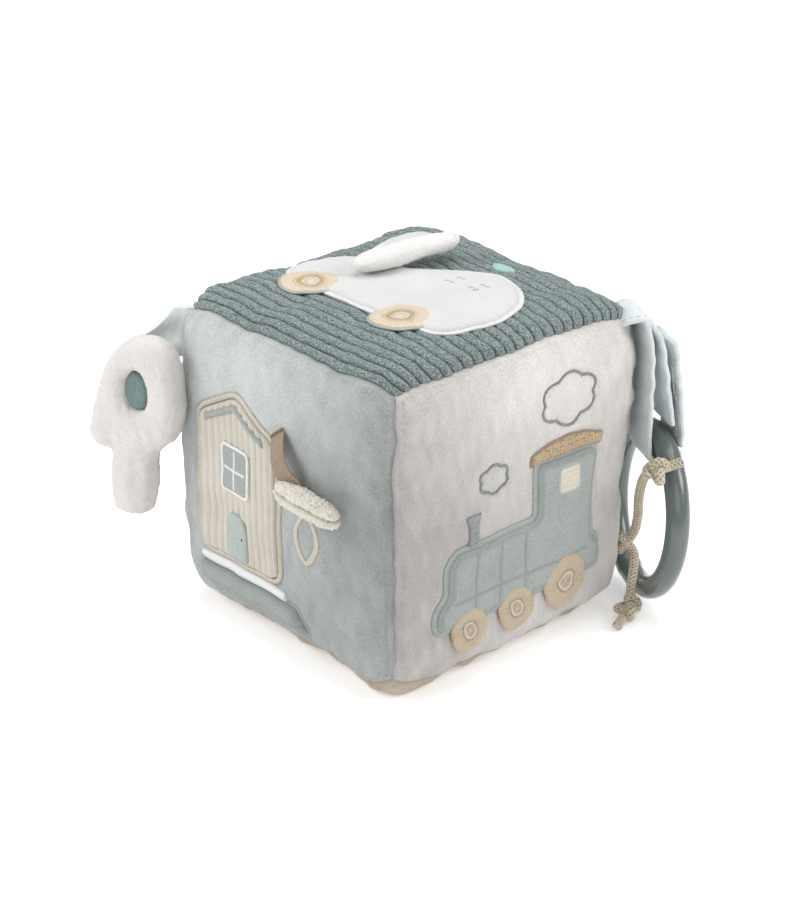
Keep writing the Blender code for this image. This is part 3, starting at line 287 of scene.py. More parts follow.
# Materials
def addNode(tree, kind, settings=None, **inputs):
    # a shader node; an input goes by its name, or by its number after an i, and takes a value or a socket
    made = tree.nodes.new("ShaderNode" + kind)
    for key, value in (settings or {}).items():
        setattr(made, key, value)
    for key, value in inputs.items():
        numbered = key[0] == "i" and key[1:].isdigit()
        socket = made.inputs[int(key[1:])] if numbered else made.inputs[key.replace("_", " ")]
        if isinstance(value, bpy.types.NodeSocket):
            tree.links.new(value, socket)
        else:
            socket.default_value = value
    return made


def colour(value):
    return (*value, 1) if len(value) == 3 else value


def mixed(tree, amount, first, second, how="MIX"):
    # a colour between two, or one times the other
    made = addNode(tree, "Mix", dict(data_type="RGBA", blend_type=how))
    for index, value in ((0, amount), (6, first), (7, second)):
        if isinstance(value, bpy.types.NodeSocket):
            tree.links.new(value, made.inputs[index])
        else:
            made.inputs[index].default_value = value if index == 0 else colour(value)
    return made.outputs[2]


def ramp(tree, value, low, high):
    # 0 below low and 1 above high
    made = addNode(tree, "MapRange", dict(clamp=True), Value=value, From_Min=low, From_Max=high)
    return made.outputs["Result"]


def noise(tree, place, scale, detail, roughness=0.5):
    made = addNode(tree, "TexNoise", None, Vector=place, Scale=scale, Detail=detail, Roughness=roughness)
    return made.outputs["Fac"]


def newMaterial(name):
    made = bpy.data.materials.new(name)
    made.use_nodes = True
    return made, made.node_tree, made.node_tree.nodes["Principled BSDF"]


def cloth(name, base, shade, light, patch=(70, 0.5), fleck=(1500, 0.5), pile=(2600, 0.35, 0.25),
          lump=(420, 0.25, 0.4), roughness=0.92, sheen=0.35, grooveShade=None, stretch=(1, 1, 1), specular=0.25,
          napAndPaintedLight=0.0):
    # mottled cloth: broad patches, fine flecks, bumps for pile and lumps, painted shade in the grooves and
    # hollows that a piece marks, and a nap field that makes it lighter or darker: partly the nap's strokes,
    # partly painted light and shade
    made, tree, shader = newMaterial(name)
    place = addNode(tree, "TexCoord").outputs["Object"]
    stretched = addNode(tree, "Mapping", None, Vector=place, Scale=stretch).outputs["Vector"]
    broad = noise(tree, place, patch[0], detail=4.0, roughness=0.6)
    fine = noise(tree, stretched, fleck[0], detail=3.0, roughness=0.7)
    tone = mixed(tree, patch[1], base, mixed(tree, ramp(tree, broad, low=0.3, high=0.7), shade, light))
    tone = mixed(tree, fleck[1], tone, mixed(tree, ramp(tree, fine, low=0.35, high=0.65), shade, light))
    # the nap field multiplies the tone: partly random strokes of the nap, partly painted light and painted
    # shade
    if napAndPaintedLight:
        napAndLightField = addNode(tree, "Attribute", dict(attribute_name="napAndPaintedLight")).outputs["Fac"]
        shine = addNode(tree, "MapRange", None, Value=napAndLightField, From_Min=-1.0, To_Min=1 - napAndPaintedLight, To_Max=1 + napAndPaintedLight)
        tone = mixed(tree, 1.0, tone, shine.outputs["Result"], "MULTIPLY")
    hair = noise(tree, stretched, pile[0], detail=2.0, roughness=0.6)
    hairs = addNode(tree, "Bump", None, Height=hair, Strength=pile[1], Distance=pile[2] * mm).outputs["Normal"]
    soft = noise(tree, place, lump[0], detail=2.0)
    bump = addNode(tree, "Bump", None, Height=soft, Strength=lump[1], Distance=lump[2] * mm, Normal=hairs)
    # painted shade: the groove colour is mixed in by the weight that each piece gives its grooves and hollows
    if grooveShade:
        field = addNode(tree, "Attribute", dict(attribute_name="grooveShade")).outputs["Fac"]
        tone = mixed(tree, field, tone, grooveShade)
    tree.links.new(tone, shader.inputs["Base Color"])
    tree.links.new(bump.outputs["Normal"], shader.inputs["Normal"])
    shader.inputs["Roughness"].default_value = roughness
    shader.inputs["Sheen Weight"].default_value = sheen
    shader.inputs["Sheen Roughness"].default_value = 0.45
    shader.inputs["Sheen Tint"].default_value = colour(light)
    shader.inputs["Specular IOR Level"].default_value = specular
    return made


def plastic(name, base, shade, roughness=0.22, coat=0.4):
    # moulded plastic: faint flow marks and a thin dusting of scuffs
    made, tree, shader = newMaterial(name)
    place = addNode(tree, "TexCoord").outputs["Object"]
    flow = noise(tree, place, scale=60.0, detail=5.0)
    scuff = noise(tree, place, scale=900.0, detail=4.0)
    tone = mixed(tree, ramp(tree, flow, low=0.3, high=0.7), base, shade)
    tree.links.new(tone, shader.inputs["Base Color"])
    rough = addNode(tree, "MapRange", None, Value=scuff, To_Min=roughness * 0.8, To_Max=roughness * 1.4)
    tree.links.new(rough.outputs["Result"], shader.inputs["Roughness"])
    bump = addNode(tree, "Bump", None, Height=scuff, Strength=0.05, Distance=0.05 * mm)
    tree.links.new(bump.outputs["Normal"], shader.inputs["Normal"])
    shader.inputs["Coat Weight"].default_value = coat
    shader.inputs["Coat Roughness"].default_value = 0.12
    return made


# each finish's groove colour is the painted shade for the grooves and hollows that a piece marks
finishes = {
    "blue_grey_velour": cloth("blueGreyVelour", (0.430, 0.454, 0.438), (0.335, 0.364, 0.352),
                              (0.543, 0.565, 0.560), patch=(24, 0.6), fleck=(1300, 0.55),
                              pile=(1900, 1.0, 0.6), lump=(330, 0.4, 0.9), grooveShade=(0.261, 0.287, 0.283),
                              napAndPaintedLight=0.3),
    "off_white_velour": cloth("offWhiteVelour", (0.566, 0.543, 0.521), (0.459, 0.435, 0.412),
                              (0.683, 0.662, 0.642), patch=(26, 0.55), fleck=(1400, 0.5),
                              pile=(2000, 0.95, 0.55), lump=(330, 0.35, 0.8), grooveShade=(0.378, 0.356, 0.338),
                              napAndPaintedLight=0.3),
    "teal_corduroy": cloth("tealCorduroy", (0.178, 0.230, 0.227), (0.040, 0.064, 0.064),
                           (0.415, 0.482, 0.474), patch=(45, 0.3), fleck=(1800, 0.85), pile=(2000, 1.0, 0.7),
                           grooveShade=(0.018, 0.029, 0.029), lump=(700, 0.5, 0.5), stretch=(0.7, 1, 1)),
    "cream_corduroy": cloth("creamCorduroy", (0.567, 0.531, 0.473), (0.454, 0.405, 0.340),
                            (0.640, 0.611, 0.559), fleck=(1800, 0.35), grooveShade=(0.324, 0.279, 0.223)),
    # a darker copy of the cream corduroy for the bottom panel: painted shade
    "sole_shaded_corduroy": cloth("soleShadedCorduroy", (0.475, 0.408, 0.330), (0.378, 0.312, 0.238), (0.540, 0.474, 0.394),
                        fleck=(1600, 0.4), grooveShade=(0.19, 0.15, 0.11)),
    # a still lighter copy of the velour for the key's strap, which lies in shade: painted light
    "key_strap_lit_velour": cloth("keyStrapLitVelour", (0.760, 0.806, 0.810), (0.640, 0.686, 0.692),
                              (0.860, 0.896, 0.902), fleck=(1300, 0.4), pile=(2300, 0.5, 0.35),
                              grooveShade=(0.37, 0.42, 0.43)),
    "disc_satin": cloth("discSatin", (0.696, 0.600, 0.450), (0.530, 0.420, 0.300), (0.800, 0.720, 0.600),
                        roughness=0.5, sheen=0.2, pile=(3000, 0.15, 0.1), grooveShade=(0.400, 0.290, 0.180),
                        specular=0.5),
    "cream_satin": cloth("creamSatin", (0.600, 0.545, 0.435), (0.447, 0.400, 0.314), (0.688, 0.654, 0.576),
                         roughness=0.5, sheen=0.2, pile=(3000, 0.15, 0.1), grooveShade=(0.310, 0.267, 0.198),
                         specular=0.5),
    "white_satin": cloth("whiteSatin", (0.743, 0.752, 0.757), (0.620, 0.630, 0.639), (0.827, 0.832, 0.837),
                         roughness=0.45, sheen=0.2, pile=(3000, 0.15, 0.1), grooveShade=(0.489, 0.498, 0.508),
                         specular=0.5),
    "white_plush": cloth("whitePlush", (0.712, 0.684, 0.661), (0.607, 0.579, 0.555), (0.788, 0.763, 0.742),
                         fleck=(1300, 0.4), pile=(1700, 0.9, 0.6), lump=(380, 0.4, 0.6), sheen=0.5,
                         grooveShade=(0.410, 0.385, 0.369)),
    "rabbit_plush": cloth("rabbitPlush", (0.647, 0.647, 0.638), (0.572, 0.572, 0.563), (0.704, 0.704, 0.695),
                          fleck=(1500, 0.4), pile=(2200, 0.6, 0.4), lump=(380, 0.35, 0.5), sheen=0.4,
                          grooveShade=(0.440, 0.440, 0.431)),
    # a lighter copy of the white plush for the ear: painted light
    "ear_lit_plush": cloth("earLitPlush", (0.80, 0.79, 0.775), (0.71, 0.70, 0.685), (0.87, 0.86, 0.85),
                       fleck=(1500, 0.4), pile=(1900, 0.8, 0.5), lump=(380, 0.4, 0.6), sheen=0.5,
                       grooveShade=(0.52, 0.51, 0.50)),
    "teal_velour": cloth("tealVelour", (0.145, 0.215, 0.21), (0.09, 0.145, 0.142), (0.235, 0.315, 0.31),
                         fleck=(1400, 0.5), pile=(2300, 0.6, 0.35), grooveShade=(0.05, 0.10, 0.10)),
    # a lighter copy of the blue-grey velour for the straps: painted light
    "strap_lit_velour": cloth("strapLitVelour", (0.649, 0.693, 0.699), (0.528, 0.572, 0.578), (0.770, 0.814, 0.825),
                          fleck=(1300, 0.4), pile=(2300, 0.5, 0.35), grooveShade=(0.319, 0.369, 0.374)),
    "pale_blue_velour": cloth("paleBlueVelour", (0.322, 0.346, 0.332), (0.250, 0.276, 0.264),
                              (0.412, 0.436, 0.420), fleck=(1200, 0.45), pile=(2400, 0.55, 0.35),
                              lump=(350, 0.4, 0.7), grooveShade=(0.188, 0.220, 0.212)),
    "mint_satin": cloth("mintSatin", (0.33, 0.56, 0.49), (0.24, 0.44, 0.385), (0.47, 0.69, 0.62),
                        roughness=0.5, sheen=0.2, grooveShade=(0.17, 0.33, 0.29), specular=0.5),
    "tan_satin": cloth("tanSatin", (0.508, 0.410, 0.295), (0.361, 0.275, 0.180), (0.623, 0.545, 0.426),
                       roughness=0.45, sheen=0.2, grooveShade=(0.246, 0.176, 0.107), specular=0.5),
    "tan_weave": cloth("tanWeave", (0.468, 0.353, 0.230), (0.281, 0.187, 0.111), (0.612, 0.497, 0.348),
                       roughness=0.7, grooveShade=(0.128, 0.076, 0.043)),
    "brown_grosgrain": cloth("brownGrosgrain", (0.299, 0.217, 0.156), (0.205, 0.143, 0.098),
                             (0.410, 0.316, 0.238), roughness=0.6, sheen=0.15, grooveShade=(0.107, 0.070, 0.045),
                             specular=0.4),
    "grey_stitch": cloth("greyStitch", (0.235, 0.25, 0.25), (0.14, 0.15, 0.15), (0.36, 0.38, 0.38),
                         roughness=0.55, sheen=0.15, grooveShade=(0.11, 0.12, 0.12), specular=0.45),
    "grey_green_satin": cloth("greyGreenSatin", (0.345, 0.391, 0.368), (0.248, 0.290, 0.271),
                              (0.469, 0.520, 0.492), roughness=0.5, sheen=0.2, grooveShade=(0.175, 0.212, 0.198),
                              specular=0.5),
    "cream_terry": cloth("creamTerry", (0.763, 0.730, 0.660), (0.632, 0.586, 0.502), (0.837, 0.814, 0.763),
                         pile=(1500, 0.8, 0.6), lump=(900, 0.7, 0.8), grooveShade=(0.419, 0.363, 0.279)),
    "grey_plastic": plastic("greyPlastic", (0.105, 0.128, 0.122), (0.125, 0.15, 0.143)),
    "beige_braid": cloth("beigeBraid", (0.636, 0.562, 0.435), (0.424, 0.355, 0.254), (0.806, 0.742, 0.615),
                         roughness=0.6, fleck=(2600, 0.4), grooveShade=(0.212, 0.164, 0.106), specular=0.35),
    "white_stuffing": cloth("whiteStuffing", (0.8, 0.8, 0.79), (0.72, 0.72, 0.71), (0.86, 0.86, 0.86)),
    "clear_plastic": plastic("clearPlastic", (0.80, 0.80, 0.82), (0.76, 0.76, 0.79), roughness=0.3, coat=0.1),
    "white_hook_tape": cloth("whiteHookTape", (0.68, 0.69, 0.69), (0.52, 0.54, 0.55), (0.80, 0.81, 0.81),
                             pile=(2200, 0.8, 0.5), lump=(1200, 0.7, 0.5)),
    "dark_tan_satin": cloth("darkTanSatin", (0.482, 0.353, 0.206), (0.327, 0.224, 0.125),
                            (0.602, 0.473, 0.310), roughness=0.45, sheen=0.2, grooveShade=(0.206, 0.133, 0.073),
                            specular=0.5),
    "faint_stitch": cloth("faintStitch", (0.50, 0.515, 0.51), (0.38, 0.39, 0.39), (0.62, 0.63, 0.625),
                          roughness=0.55, sheen=0.15, grooveShade=(0.30, 0.31, 0.31)),
    "brown_thread": cloth("brownThread", (0.16, 0.105, 0.08), (0.10, 0.065, 0.05), (0.25, 0.175, 0.14),
                          roughness=0.5, sheen=0.1),
}
slotOf = {part["node"]: part["material_slot"] for part in frame["record"]["subparts"]}


def finish(made, body, slot, replaced=(), look=None, bend=None):
    # gives a piece the material of its look or its slot, puts it under its body, and hides the CAD nodes that
    # it stands for; a piece given bend points keeps its placement baked in and gets no body, and the points are
    # not used
    made.data.materials.clear()
    made.data.materials.append(finishes[look or slot])
    if bend:
        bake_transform(made)
    else:
        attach(made, body)
    if replaced:
        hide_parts(*replaced)
    return made


def readPoints(mesh, what="co"):
    values = np.zeros(len(mesh.vertices) * 3)
    mesh.vertices.foreach_get(what, values)
    return values.reshape(-1, 3)


def writePoints(mesh, points):
    mesh.vertices.foreach_set("co", points.astype(np.float32).ravel())
    mesh.update()


for nodeName in ("rattle_shell_lower", "rattle_shell_upper", "rattle_ball"):
    inside = frame["nodes"][nodeName]
    inside.data.materials.clear()
    inside.data.materials.append(finishes[slotOf[nodeName]])


stuffing = dict(drawIn=4.5 * mm, hollow=30 * mm, split=1 * mm)


def makeStuffing(half):
    # the solid filling, drawn in under the low places of the cover; the hollow at its middle keeps its size,
    # and the two halves still meet in their flat split
    data = frame["nodes"][f"stuffing_{half}"].data.copy()
    made = bpy.data.objects.new(f"{half}Stuffing", data)
    scene.collection.objects.link(made)
    points = readPoints(data)
    away = points - [0, 0, view["aim"][2]]
    outer = np.linalg.norm(away, axis=1, keepdims=True) > stuffing["hollow"]
    flat = np.abs(away[:, 2:]) < stuffing["split"]
    writePoints(data, points - unit(away) * stuffing["drawIn"] * outer * np.where(flat, [1, 1, 0], [1, 1, 1]))
    finish(made, "block", "white_stuffing", [f"stuffing_{half}"])


for half in ("lower", "upper"):
    makeStuffing(half)

makeCamera()
makeStudio()
print("camera, studio and materials are ready")


# Braided cords with overhand knots
# dark: the level below which, and the strength with which, painted shade darkens the cord between its strands
cord = dict(radius=1.65 * mm, strands=4, turn=5.6 * mm, deep=0.26, crest=0.55, dark=(0.45, 0.9),
            step=0.22 * mm, around=24, flare=0.15, flareReach=0.8 * mm, knotReach=5.5 * mm, knotRadius=1.6 * mm,
            knotGap=0.30, knotLift=1.15, knotSpan=3.05, knotOpen=0.8, knotTrim=4, knotPick=6, knotSteps=120)
cordRoutes = dict(
    upper=dict(route=((54.6, 54.6, 19.5), (56.8, 56.7, 23.6), (58.9, 58.3, 28.5), (60.9, 57.6, 36.0),
                      (63.2, 55.2, 45.0), (68.6, 51.6, 55.6), (79.0, 46.4, 63.4)),
               tail=((79.0, 46.4, 63.4), (81.6, 50.2, 65.0), (84.2, 54.0, 66.5)), spin=20.0),
    lower=dict(route=((54.6, 54.6, 26.5), (56.8, 56.7, 23.4), (59.4, 57.8, 19.8), (62.0, 55.4, 16.8),
                      (65.2, 51.2, 13.2), (69.0, 45.5, 5.1)),
               tail=((69.0, 45.5, 5.1), (70.5, 41.2, 3.2), (72.2, 36.6, 2.2)), spin=70.0))


def frames(path):
    # two directions across a path at each place, carried along it with no twist
    along = unit(np.gradient(path, axis=0))
    side = np.zeros_like(path)
    start = zAxis if abs(along[0][2]) < 0.9 else np.array([1.0, 0, 0])
    last = unit(start - along[0] * (start @ along[0]))
    for i, way in enumerate(along):
        last = unit(last - way * (last @ way))
        side[i] = last
    return side, np.cross(along, side)


def braid(name, path, radius, flare=0.0):
    # a round cord whose strands cross as two sets of helices: the nearer set stands out, with painted shade
    # where they dip; the cut end flares
    side, out = frames(path)
    run = lengths(path)[:, None]
    angle = np.linspace(0, 2 * np.pi, cord["around"], endpoint=False)[None]
    twist = 2 * np.pi * run / cord["turn"]
    over = np.maximum(np.cos(cord["strands"] * (angle + twist)), np.cos(cord["strands"] * (angle - twist)))
    swell = 1 + cord["deep"] * (over - cord["crest"]) + flare * np.exp(-(run[-1] - run) / cord["flareReach"])
    profile = radius * swell[..., None] * np.stack([np.cos(angle), np.sin(angle)], -1)
    low, dark = cord["dark"]
    return sweep(name, path, side, out, profile, grooveShade=np.clip(low - over, 0, 1) * dark)


def overhandKnot(centre, enter, leave, spin):
    # the middle of a trefoil, opened where the cord comes in and goes out, and turned about the cord's way
    t = np.linspace(cord["knotGap"], 2 * np.pi - cord["knotGap"], cord["knotSteps"])
    lift = -cord["knotLift"] * np.sin(3 * t)
    loop = np.stack([np.sin(t) + 2 * np.sin(2 * t), np.cos(t) - 2 * np.cos(2 * t), lift], 1)
    loop *= (cord["knotReach"] - cord["knotRadius"]) / cord["knotSpan"]
    way = unit(leave - enter)
    third = unit(np.cross(way, zAxis + 0.01))
    a = math.radians(spin)
    turn = np.array([[1, 0, 0], [0, math.cos(a), -math.sin(a)], [0, math.sin(a), math.cos(a)]])
    return centre + loop @ turn @ np.stack([way, np.cross(third, way), third])


def makeCord(key, facts):
    # the cord runs on through its knot to the tail's end; the knot's windings go round it
    route = np.array(facts["route"] + facts["tail"][1:]) * mm
    path = smoothLine(route, cord["step"])
    knotAt = route[len(facts["route"]) - 1]
    made = braid(f"{key}Cord", path, cord["radius"], cord["flare"])
    inside = np.flatnonzero(np.linalg.norm(path - knotAt, axis=1) < cord["knotReach"] * cord["knotOpen"])
    enter, leave = path[inside[0]], path[inside[-1]]
    loop = overhandKnot(knotAt, enter, leave, facts["spin"])
    if np.linalg.norm(loop[0] - enter) > np.linalg.norm(loop[-1] - enter):
        loop = loop[::-1]
    loop = loop[cord["knotTrim"]:-cord["knotTrim"]:cord["knotPick"]]
    line = smoothLine(np.vstack([enter[None], loop, leave[None]]), cord["step"])
    knot = braid(f"{key}CordKnot", line, cord["knotRadius"])
    finish(made, "block", "beige_braid", [f"pull_cord_{key}"])
    finish(knot, "block", "beige_braid", [f"pull_cord_{key}_knot"])


for cordKey, cordFacts in cordRoutes.items():
    makeCord(cordKey, cordFacts)


# The stuffed cube
block = dict(half=np.array([63.0, 63.0, 61.2]) * mm, power=7.66, middle=60.7 * mm, reach=41 * mm,
             cloth=0.9 * mm, seamDeep=1.2 * mm, seamWide=1.6 * mm, seamDark=(0.45, 0.8 * mm), footing=0.2 * mm,
             lumps=((42 * mm, 0.525 * mm, 3), (19 * mm, 0.266 * mm, 4), (8.5 * mm, 0.091 * mm, 5)),
             pucker=dict(length=9.5 * mm, deep=0.55 * mm, reach=8 * mm, clear=1.2 * mm, seed=11),
             pits=dict(step=2.6 * mm, deep=0.32 * mm, away=2.6 * mm, wide=0.5 * mm, dark=0.4),
             slides=((26 * mm, 0.45 * mm, 21), (11 * mm, 0.225 * mm, 24)), slideReach=7 * mm,
             crowd=0.35, tucks=(1.0, 0.6, 0.3), tuckDeep=3.2 * mm, tuckOver=0.5 * mm, gap=0.0015,
             sways=(((58, 58, -24), (30, 30, 34), (-3.0, -3.0, 0)),
                    ((60, 56, 48), (24, 24, 18), (0.7, 0.7, -0.6)),
                    ((-60, -5, 58), (18, 42, 18), (0.6, 0, -3.0)),
                    ((18, 60, 58), (36, 18, 18), (0, -0.6, -2.6)),
                    ((60, -60, -56), (26, 26, 22), (1.6, -1.6, 0)),
                    ((0, 0, 64), (46, 46, 20), (0, 0, 0.7)),
                    ((56, -56, -50), (16, 16, 7), (0, 0, 2.0)),
                    ((56, -56, -62), (22, 22, 6), (2.6, -2.6, -3.4))))      # each in mm: middle, reaches, push
faceAxes = {
    "front": ((1, 0, 0), (0, 0, 1), (0, -1, 0)), "right": ((0, 1, 0), (0, 0, 1), (1, 0, 0)),
    "back": ((-1, 0, 0), (0, 0, 1), (0, 1, 0)), "left": ((0, -1, 0), (0, 0, 1), (-1, 0, 0)),
    "top": ((1, 0, 0), (0, 1, 0), (0, 0, 1)), "bottom": ((1, 0, 0), (0, -1, 0), (0, 0, -1)),
}
sewnLines = {face: [] for face in faceAxes}      # outlines that pull the cover in: line, depth, reach, closed


def needlePits(a, b, gap):
    # 0 to 1: a row of small pits beside a seam, at even steps of a + b
    pits = block["pits"]
    row = np.exp(-((gap - pits["away"]) / pits["wide"]) ** 2)
    return np.clip(np.cos(2 * np.pi * (a + b) / pits["step"]), 0, 1) * row


def coverPoint(face, a, b, lift=0.0):
    # the superellipsoid |x/A|^p + |y/B|^p + |z/C|^p = 1 over (a, b) on a face, moved along its normal by
    # lumps, seam valley, puckers, pits, sewn lines and lift, and slid by waves near seams and bell-shaped sways
    axes = np.array(faceAxes[face], float)
    half = np.abs(axes @ block["half"])
    p = block["power"]
    a, b = np.broadcast_arrays(np.asarray(a, float), np.asarray(b, float))
    left = np.clip(1 - np.abs(a / half[0]) ** p - np.abs(b / half[1]) ** p, 1e-6, 1)
    h = half[2] * left ** (1 / p)
    local = np.stack([a, b, h], -1)
    normal = unit(np.sign(local) * np.abs(local / half) ** (p - 1) / half)
    place, out = local @ axes, normal @ axes
    edge = np.maximum(np.abs(a / half[0]), np.abs(b / half[1])) / (h / half[2])
    gap = np.clip(1 - edge, 0, 1) * block["reach"]
    height = -block["seamDeep"] * np.exp(-(gap / block["seamWide"]) ** 2)
    for length, deep, seed in block["lumps"]:
        height = height + deep * waves(place, length, seed)
    pucker = block["pucker"]
    fade = np.exp(-gap / pucker["reach"]) * (1 - np.exp(-gap / pucker["clear"]))
    height = height + pucker["deep"] * waves(place, pucker["length"], pucker["seed"]) * fade
    if face != "top":
        height = height - block["pits"]["deep"] * needlePits(a, b, gap)
    flat = np.stack([a.ravel(), b.ravel()], 1)
    for line, deep, reach, closed in sewnLines[face]:
        height = height - (deep * np.exp(-(lineGap(flat, line, closed) / reach) ** 2)).reshape(a.shape)
    slide = np.zeros_like(place)
    for length, deep, seed in block["slides"]:
        slide += deep * np.stack([waves(place, length, seed + k) for k in range(3)], -1)
    slide *= np.exp(-gap / block["slideReach"])[..., None]
    for centre, reach, push in block["sways"]:
        far = (((place - np.array(centre) * mm) / (np.array(reach) * mm)) ** 2).sum(-1)
        slide += np.exp(-far)[..., None] * np.array(push) * mm
    point = place + slide + out * (height + lift)[..., None] + [0, 0, block["middle"]]
    point[..., 2] = np.maximum(point[..., 2], 0.0 if face == "bottom" else block["footing"])
    return point


# patches of painted light (weight above 0) and painted shade (weight below 0) on each side, where light falls
# brighter or dimmer
paintedLightPatches = {
    "front": ((-24, 42, 44, 26, 1.0), (56, 34, 18, 26, -0.6), (46, -10, 32, 42, -0.85),
              (6, -46, 40, 22, -0.35)),
    "right": ((8, 48, 44, 26, 1.0), (-44, -14, 28, 50, -1.0)),
    "left": ((0, 40, 50, 30, 0.8), (-40, -30, 30, 30, -0.6)),
    "back": ((20, 40, 40, 30, 0.8), (-20, -40, 50, 30, -0.6)),
}
strokes = ((0.10, (1, 1, 1.6), 24 * mm, 41), (0.13, (1, 1, 0.4), 5 * mm, 42))


def napWithPaintedLight(face, place, a, b):
    # how the nap lies, from -1 to 1: strokes of waves for the nap, and bell-shaped patches (middle, reaches,
    # weight) of painted light (weight above 0) and painted shade (weight below 0)
    napAndPaintedLight = sum(share * waves(place * stretch, length, seed) for share, stretch, length, seed in strokes)
    for x, y, wide, high, weight in paintedLightPatches.get(face, ()):
        napAndPaintedLight = napAndPaintedLight + weight * np.exp(-((a / mm - x) / wide) ** 2 - ((b / mm - y) / high) ** 2)
    return np.clip(napAndPaintedLight, -1, 1)


# darkBelow and dark set the painted shade in the valleys between the ribs
ribs = dict(count=25, rows=12, high=0.65 * mm, low=-0.75 * mm, sharp=0.5, sway=0.5 * mm, swayLength=17 * mm,
            swayAlong=0.35, swayFade=6, swaySeed=35, darkBelow=0.66, dark=(2.0, 0.92))


def ribbedTop(u, v, a, b, half):
    # low + (high - low) * |sin|^sharp over the ribs, which sway sideways and lie flat under sewn pictures; the
    # valleys between the ribs get painted shade
    edge = np.maximum(np.abs(u), np.abs(v))
    sway = waves(np.stack([a, b * ribs["swayAlong"]], -1), ribs["swayLength"], ribs["swaySeed"])
    sway = ribs["sway"] * sway * (1 - edge ** ribs["swayFade"])
    crest = np.abs(np.sin(np.pi * (v + sway / half[1] + 1) * ribs["count"] / 2)) ** ribs["sharp"]
    flat = np.stack([a.ravel(), b.ravel()], 1)
    pressed = np.any([isInside(flat, sewn[0]) for sewn in sewnLines["top"]], axis=0).reshape(a.shape)
    lift = np.where(pressed, ribs["low"], ribs["low"] + (ribs["high"] - ribs["low"]) * crest)
    gain, most = ribs["dark"]
    return lift, np.clip((ribs["darkBelow"] - crest) * gain, 0, 1) * most


def makePanel(face, slot, cells=150, ribbed=False, look=None):
    # a grid over one side of the cube, crowded towards its seams, whose edges tuck in between the panels
    rows = ribs["count"] * ribs["rows"] + 1 if ribbed else cells
    axes = np.array(faceAxes[face], float)
    half = np.abs(axes @ block["half"])
    s, t = np.linspace(-1, 1, cells), np.linspace(-1, 1, rows)
    crowd = block["crowd"]
    s = np.sin(s * np.pi / 2) * crowd + s * (1 - crowd)
    t = t if ribbed else np.sin(t * np.pi / 2) * crowd + t * (1 - crowd)
    tucks = np.array(block["tucks"])
    s, t = (np.concatenate([-1 - tucks, w, 1 + tucks[::-1]]) for w in (s, t))
    v, u = np.meshgrid(t, s, indexing="ij")
    inward = np.maximum(np.maximum(np.abs(u), np.abs(v)) - 1, 0)
    u, v = (np.clip(w, -1, 1) * (1 - block["gap"]) for w in (u, v))
    size = (np.abs(u) ** block["power"] + np.abs(v) ** block["power"] + 1) ** (-1 / block["power"])
    a, b = u * size * half[0], v * size * half[1]
    if ribbed:
        lift, grooveShade = ribbedTop(u, v, a, b, half)
    else:
        # painted shade: darker in the needle pits and towards the seams
        gap = (1 - np.maximum(np.abs(u), np.abs(v))) * block["reach"]
        dark, reach = block["seamDark"]
        pitShade = block["pits"]["dark"] * needlePits(a, b, gap)
        lift, grooveShade = 0.0, np.maximum(pitShade, dark * np.exp(-gap / reach))
    points = coverPoint(face, a, b, lift)
    across, along = (np.abs(u) >= np.abs(v))[..., None], (np.abs(v) >= np.abs(u))[..., None]
    sideways = np.sign(u)[..., None] * across * axes[0] + np.sign(v)[..., None] * along * axes[1]
    points += unit(np.array([0, 0, block["middle"]]) - points) * (inward * block["tuckDeep"])[..., None]
    points += sideways * (np.minimum(inward * 3, 1) * block["tuckOver"])[..., None]
    points[..., 2] = np.maximum(points[..., 2], 0.0)
    # the nap field carries painted light and painted shade as well as the nap
    fields = dict(grooveShade=grooveShade.ravel(), napAndPaintedLight=napWithPaintedLight(face, points, a, b).ravel())
    made = makeMesh(f"{face}Cover", points.reshape(-1, 3), [gridFaces(len(t), len(s))], fields)
    made.data.flip_normals()      # the grid's rows and columns make them point in
    wall = made.modifiers.new("cloth", "SOLIDIFY")
    wall.thickness, wall.offset = block["cloth"], -1
    finish(made, "block", slot, [f"{face}_panel"], look)


# Sewn patches, borders and stitches
patches = dict(step=0.9 * mm, rows=0.9, clear=0.55, sink=0.7 * mm)


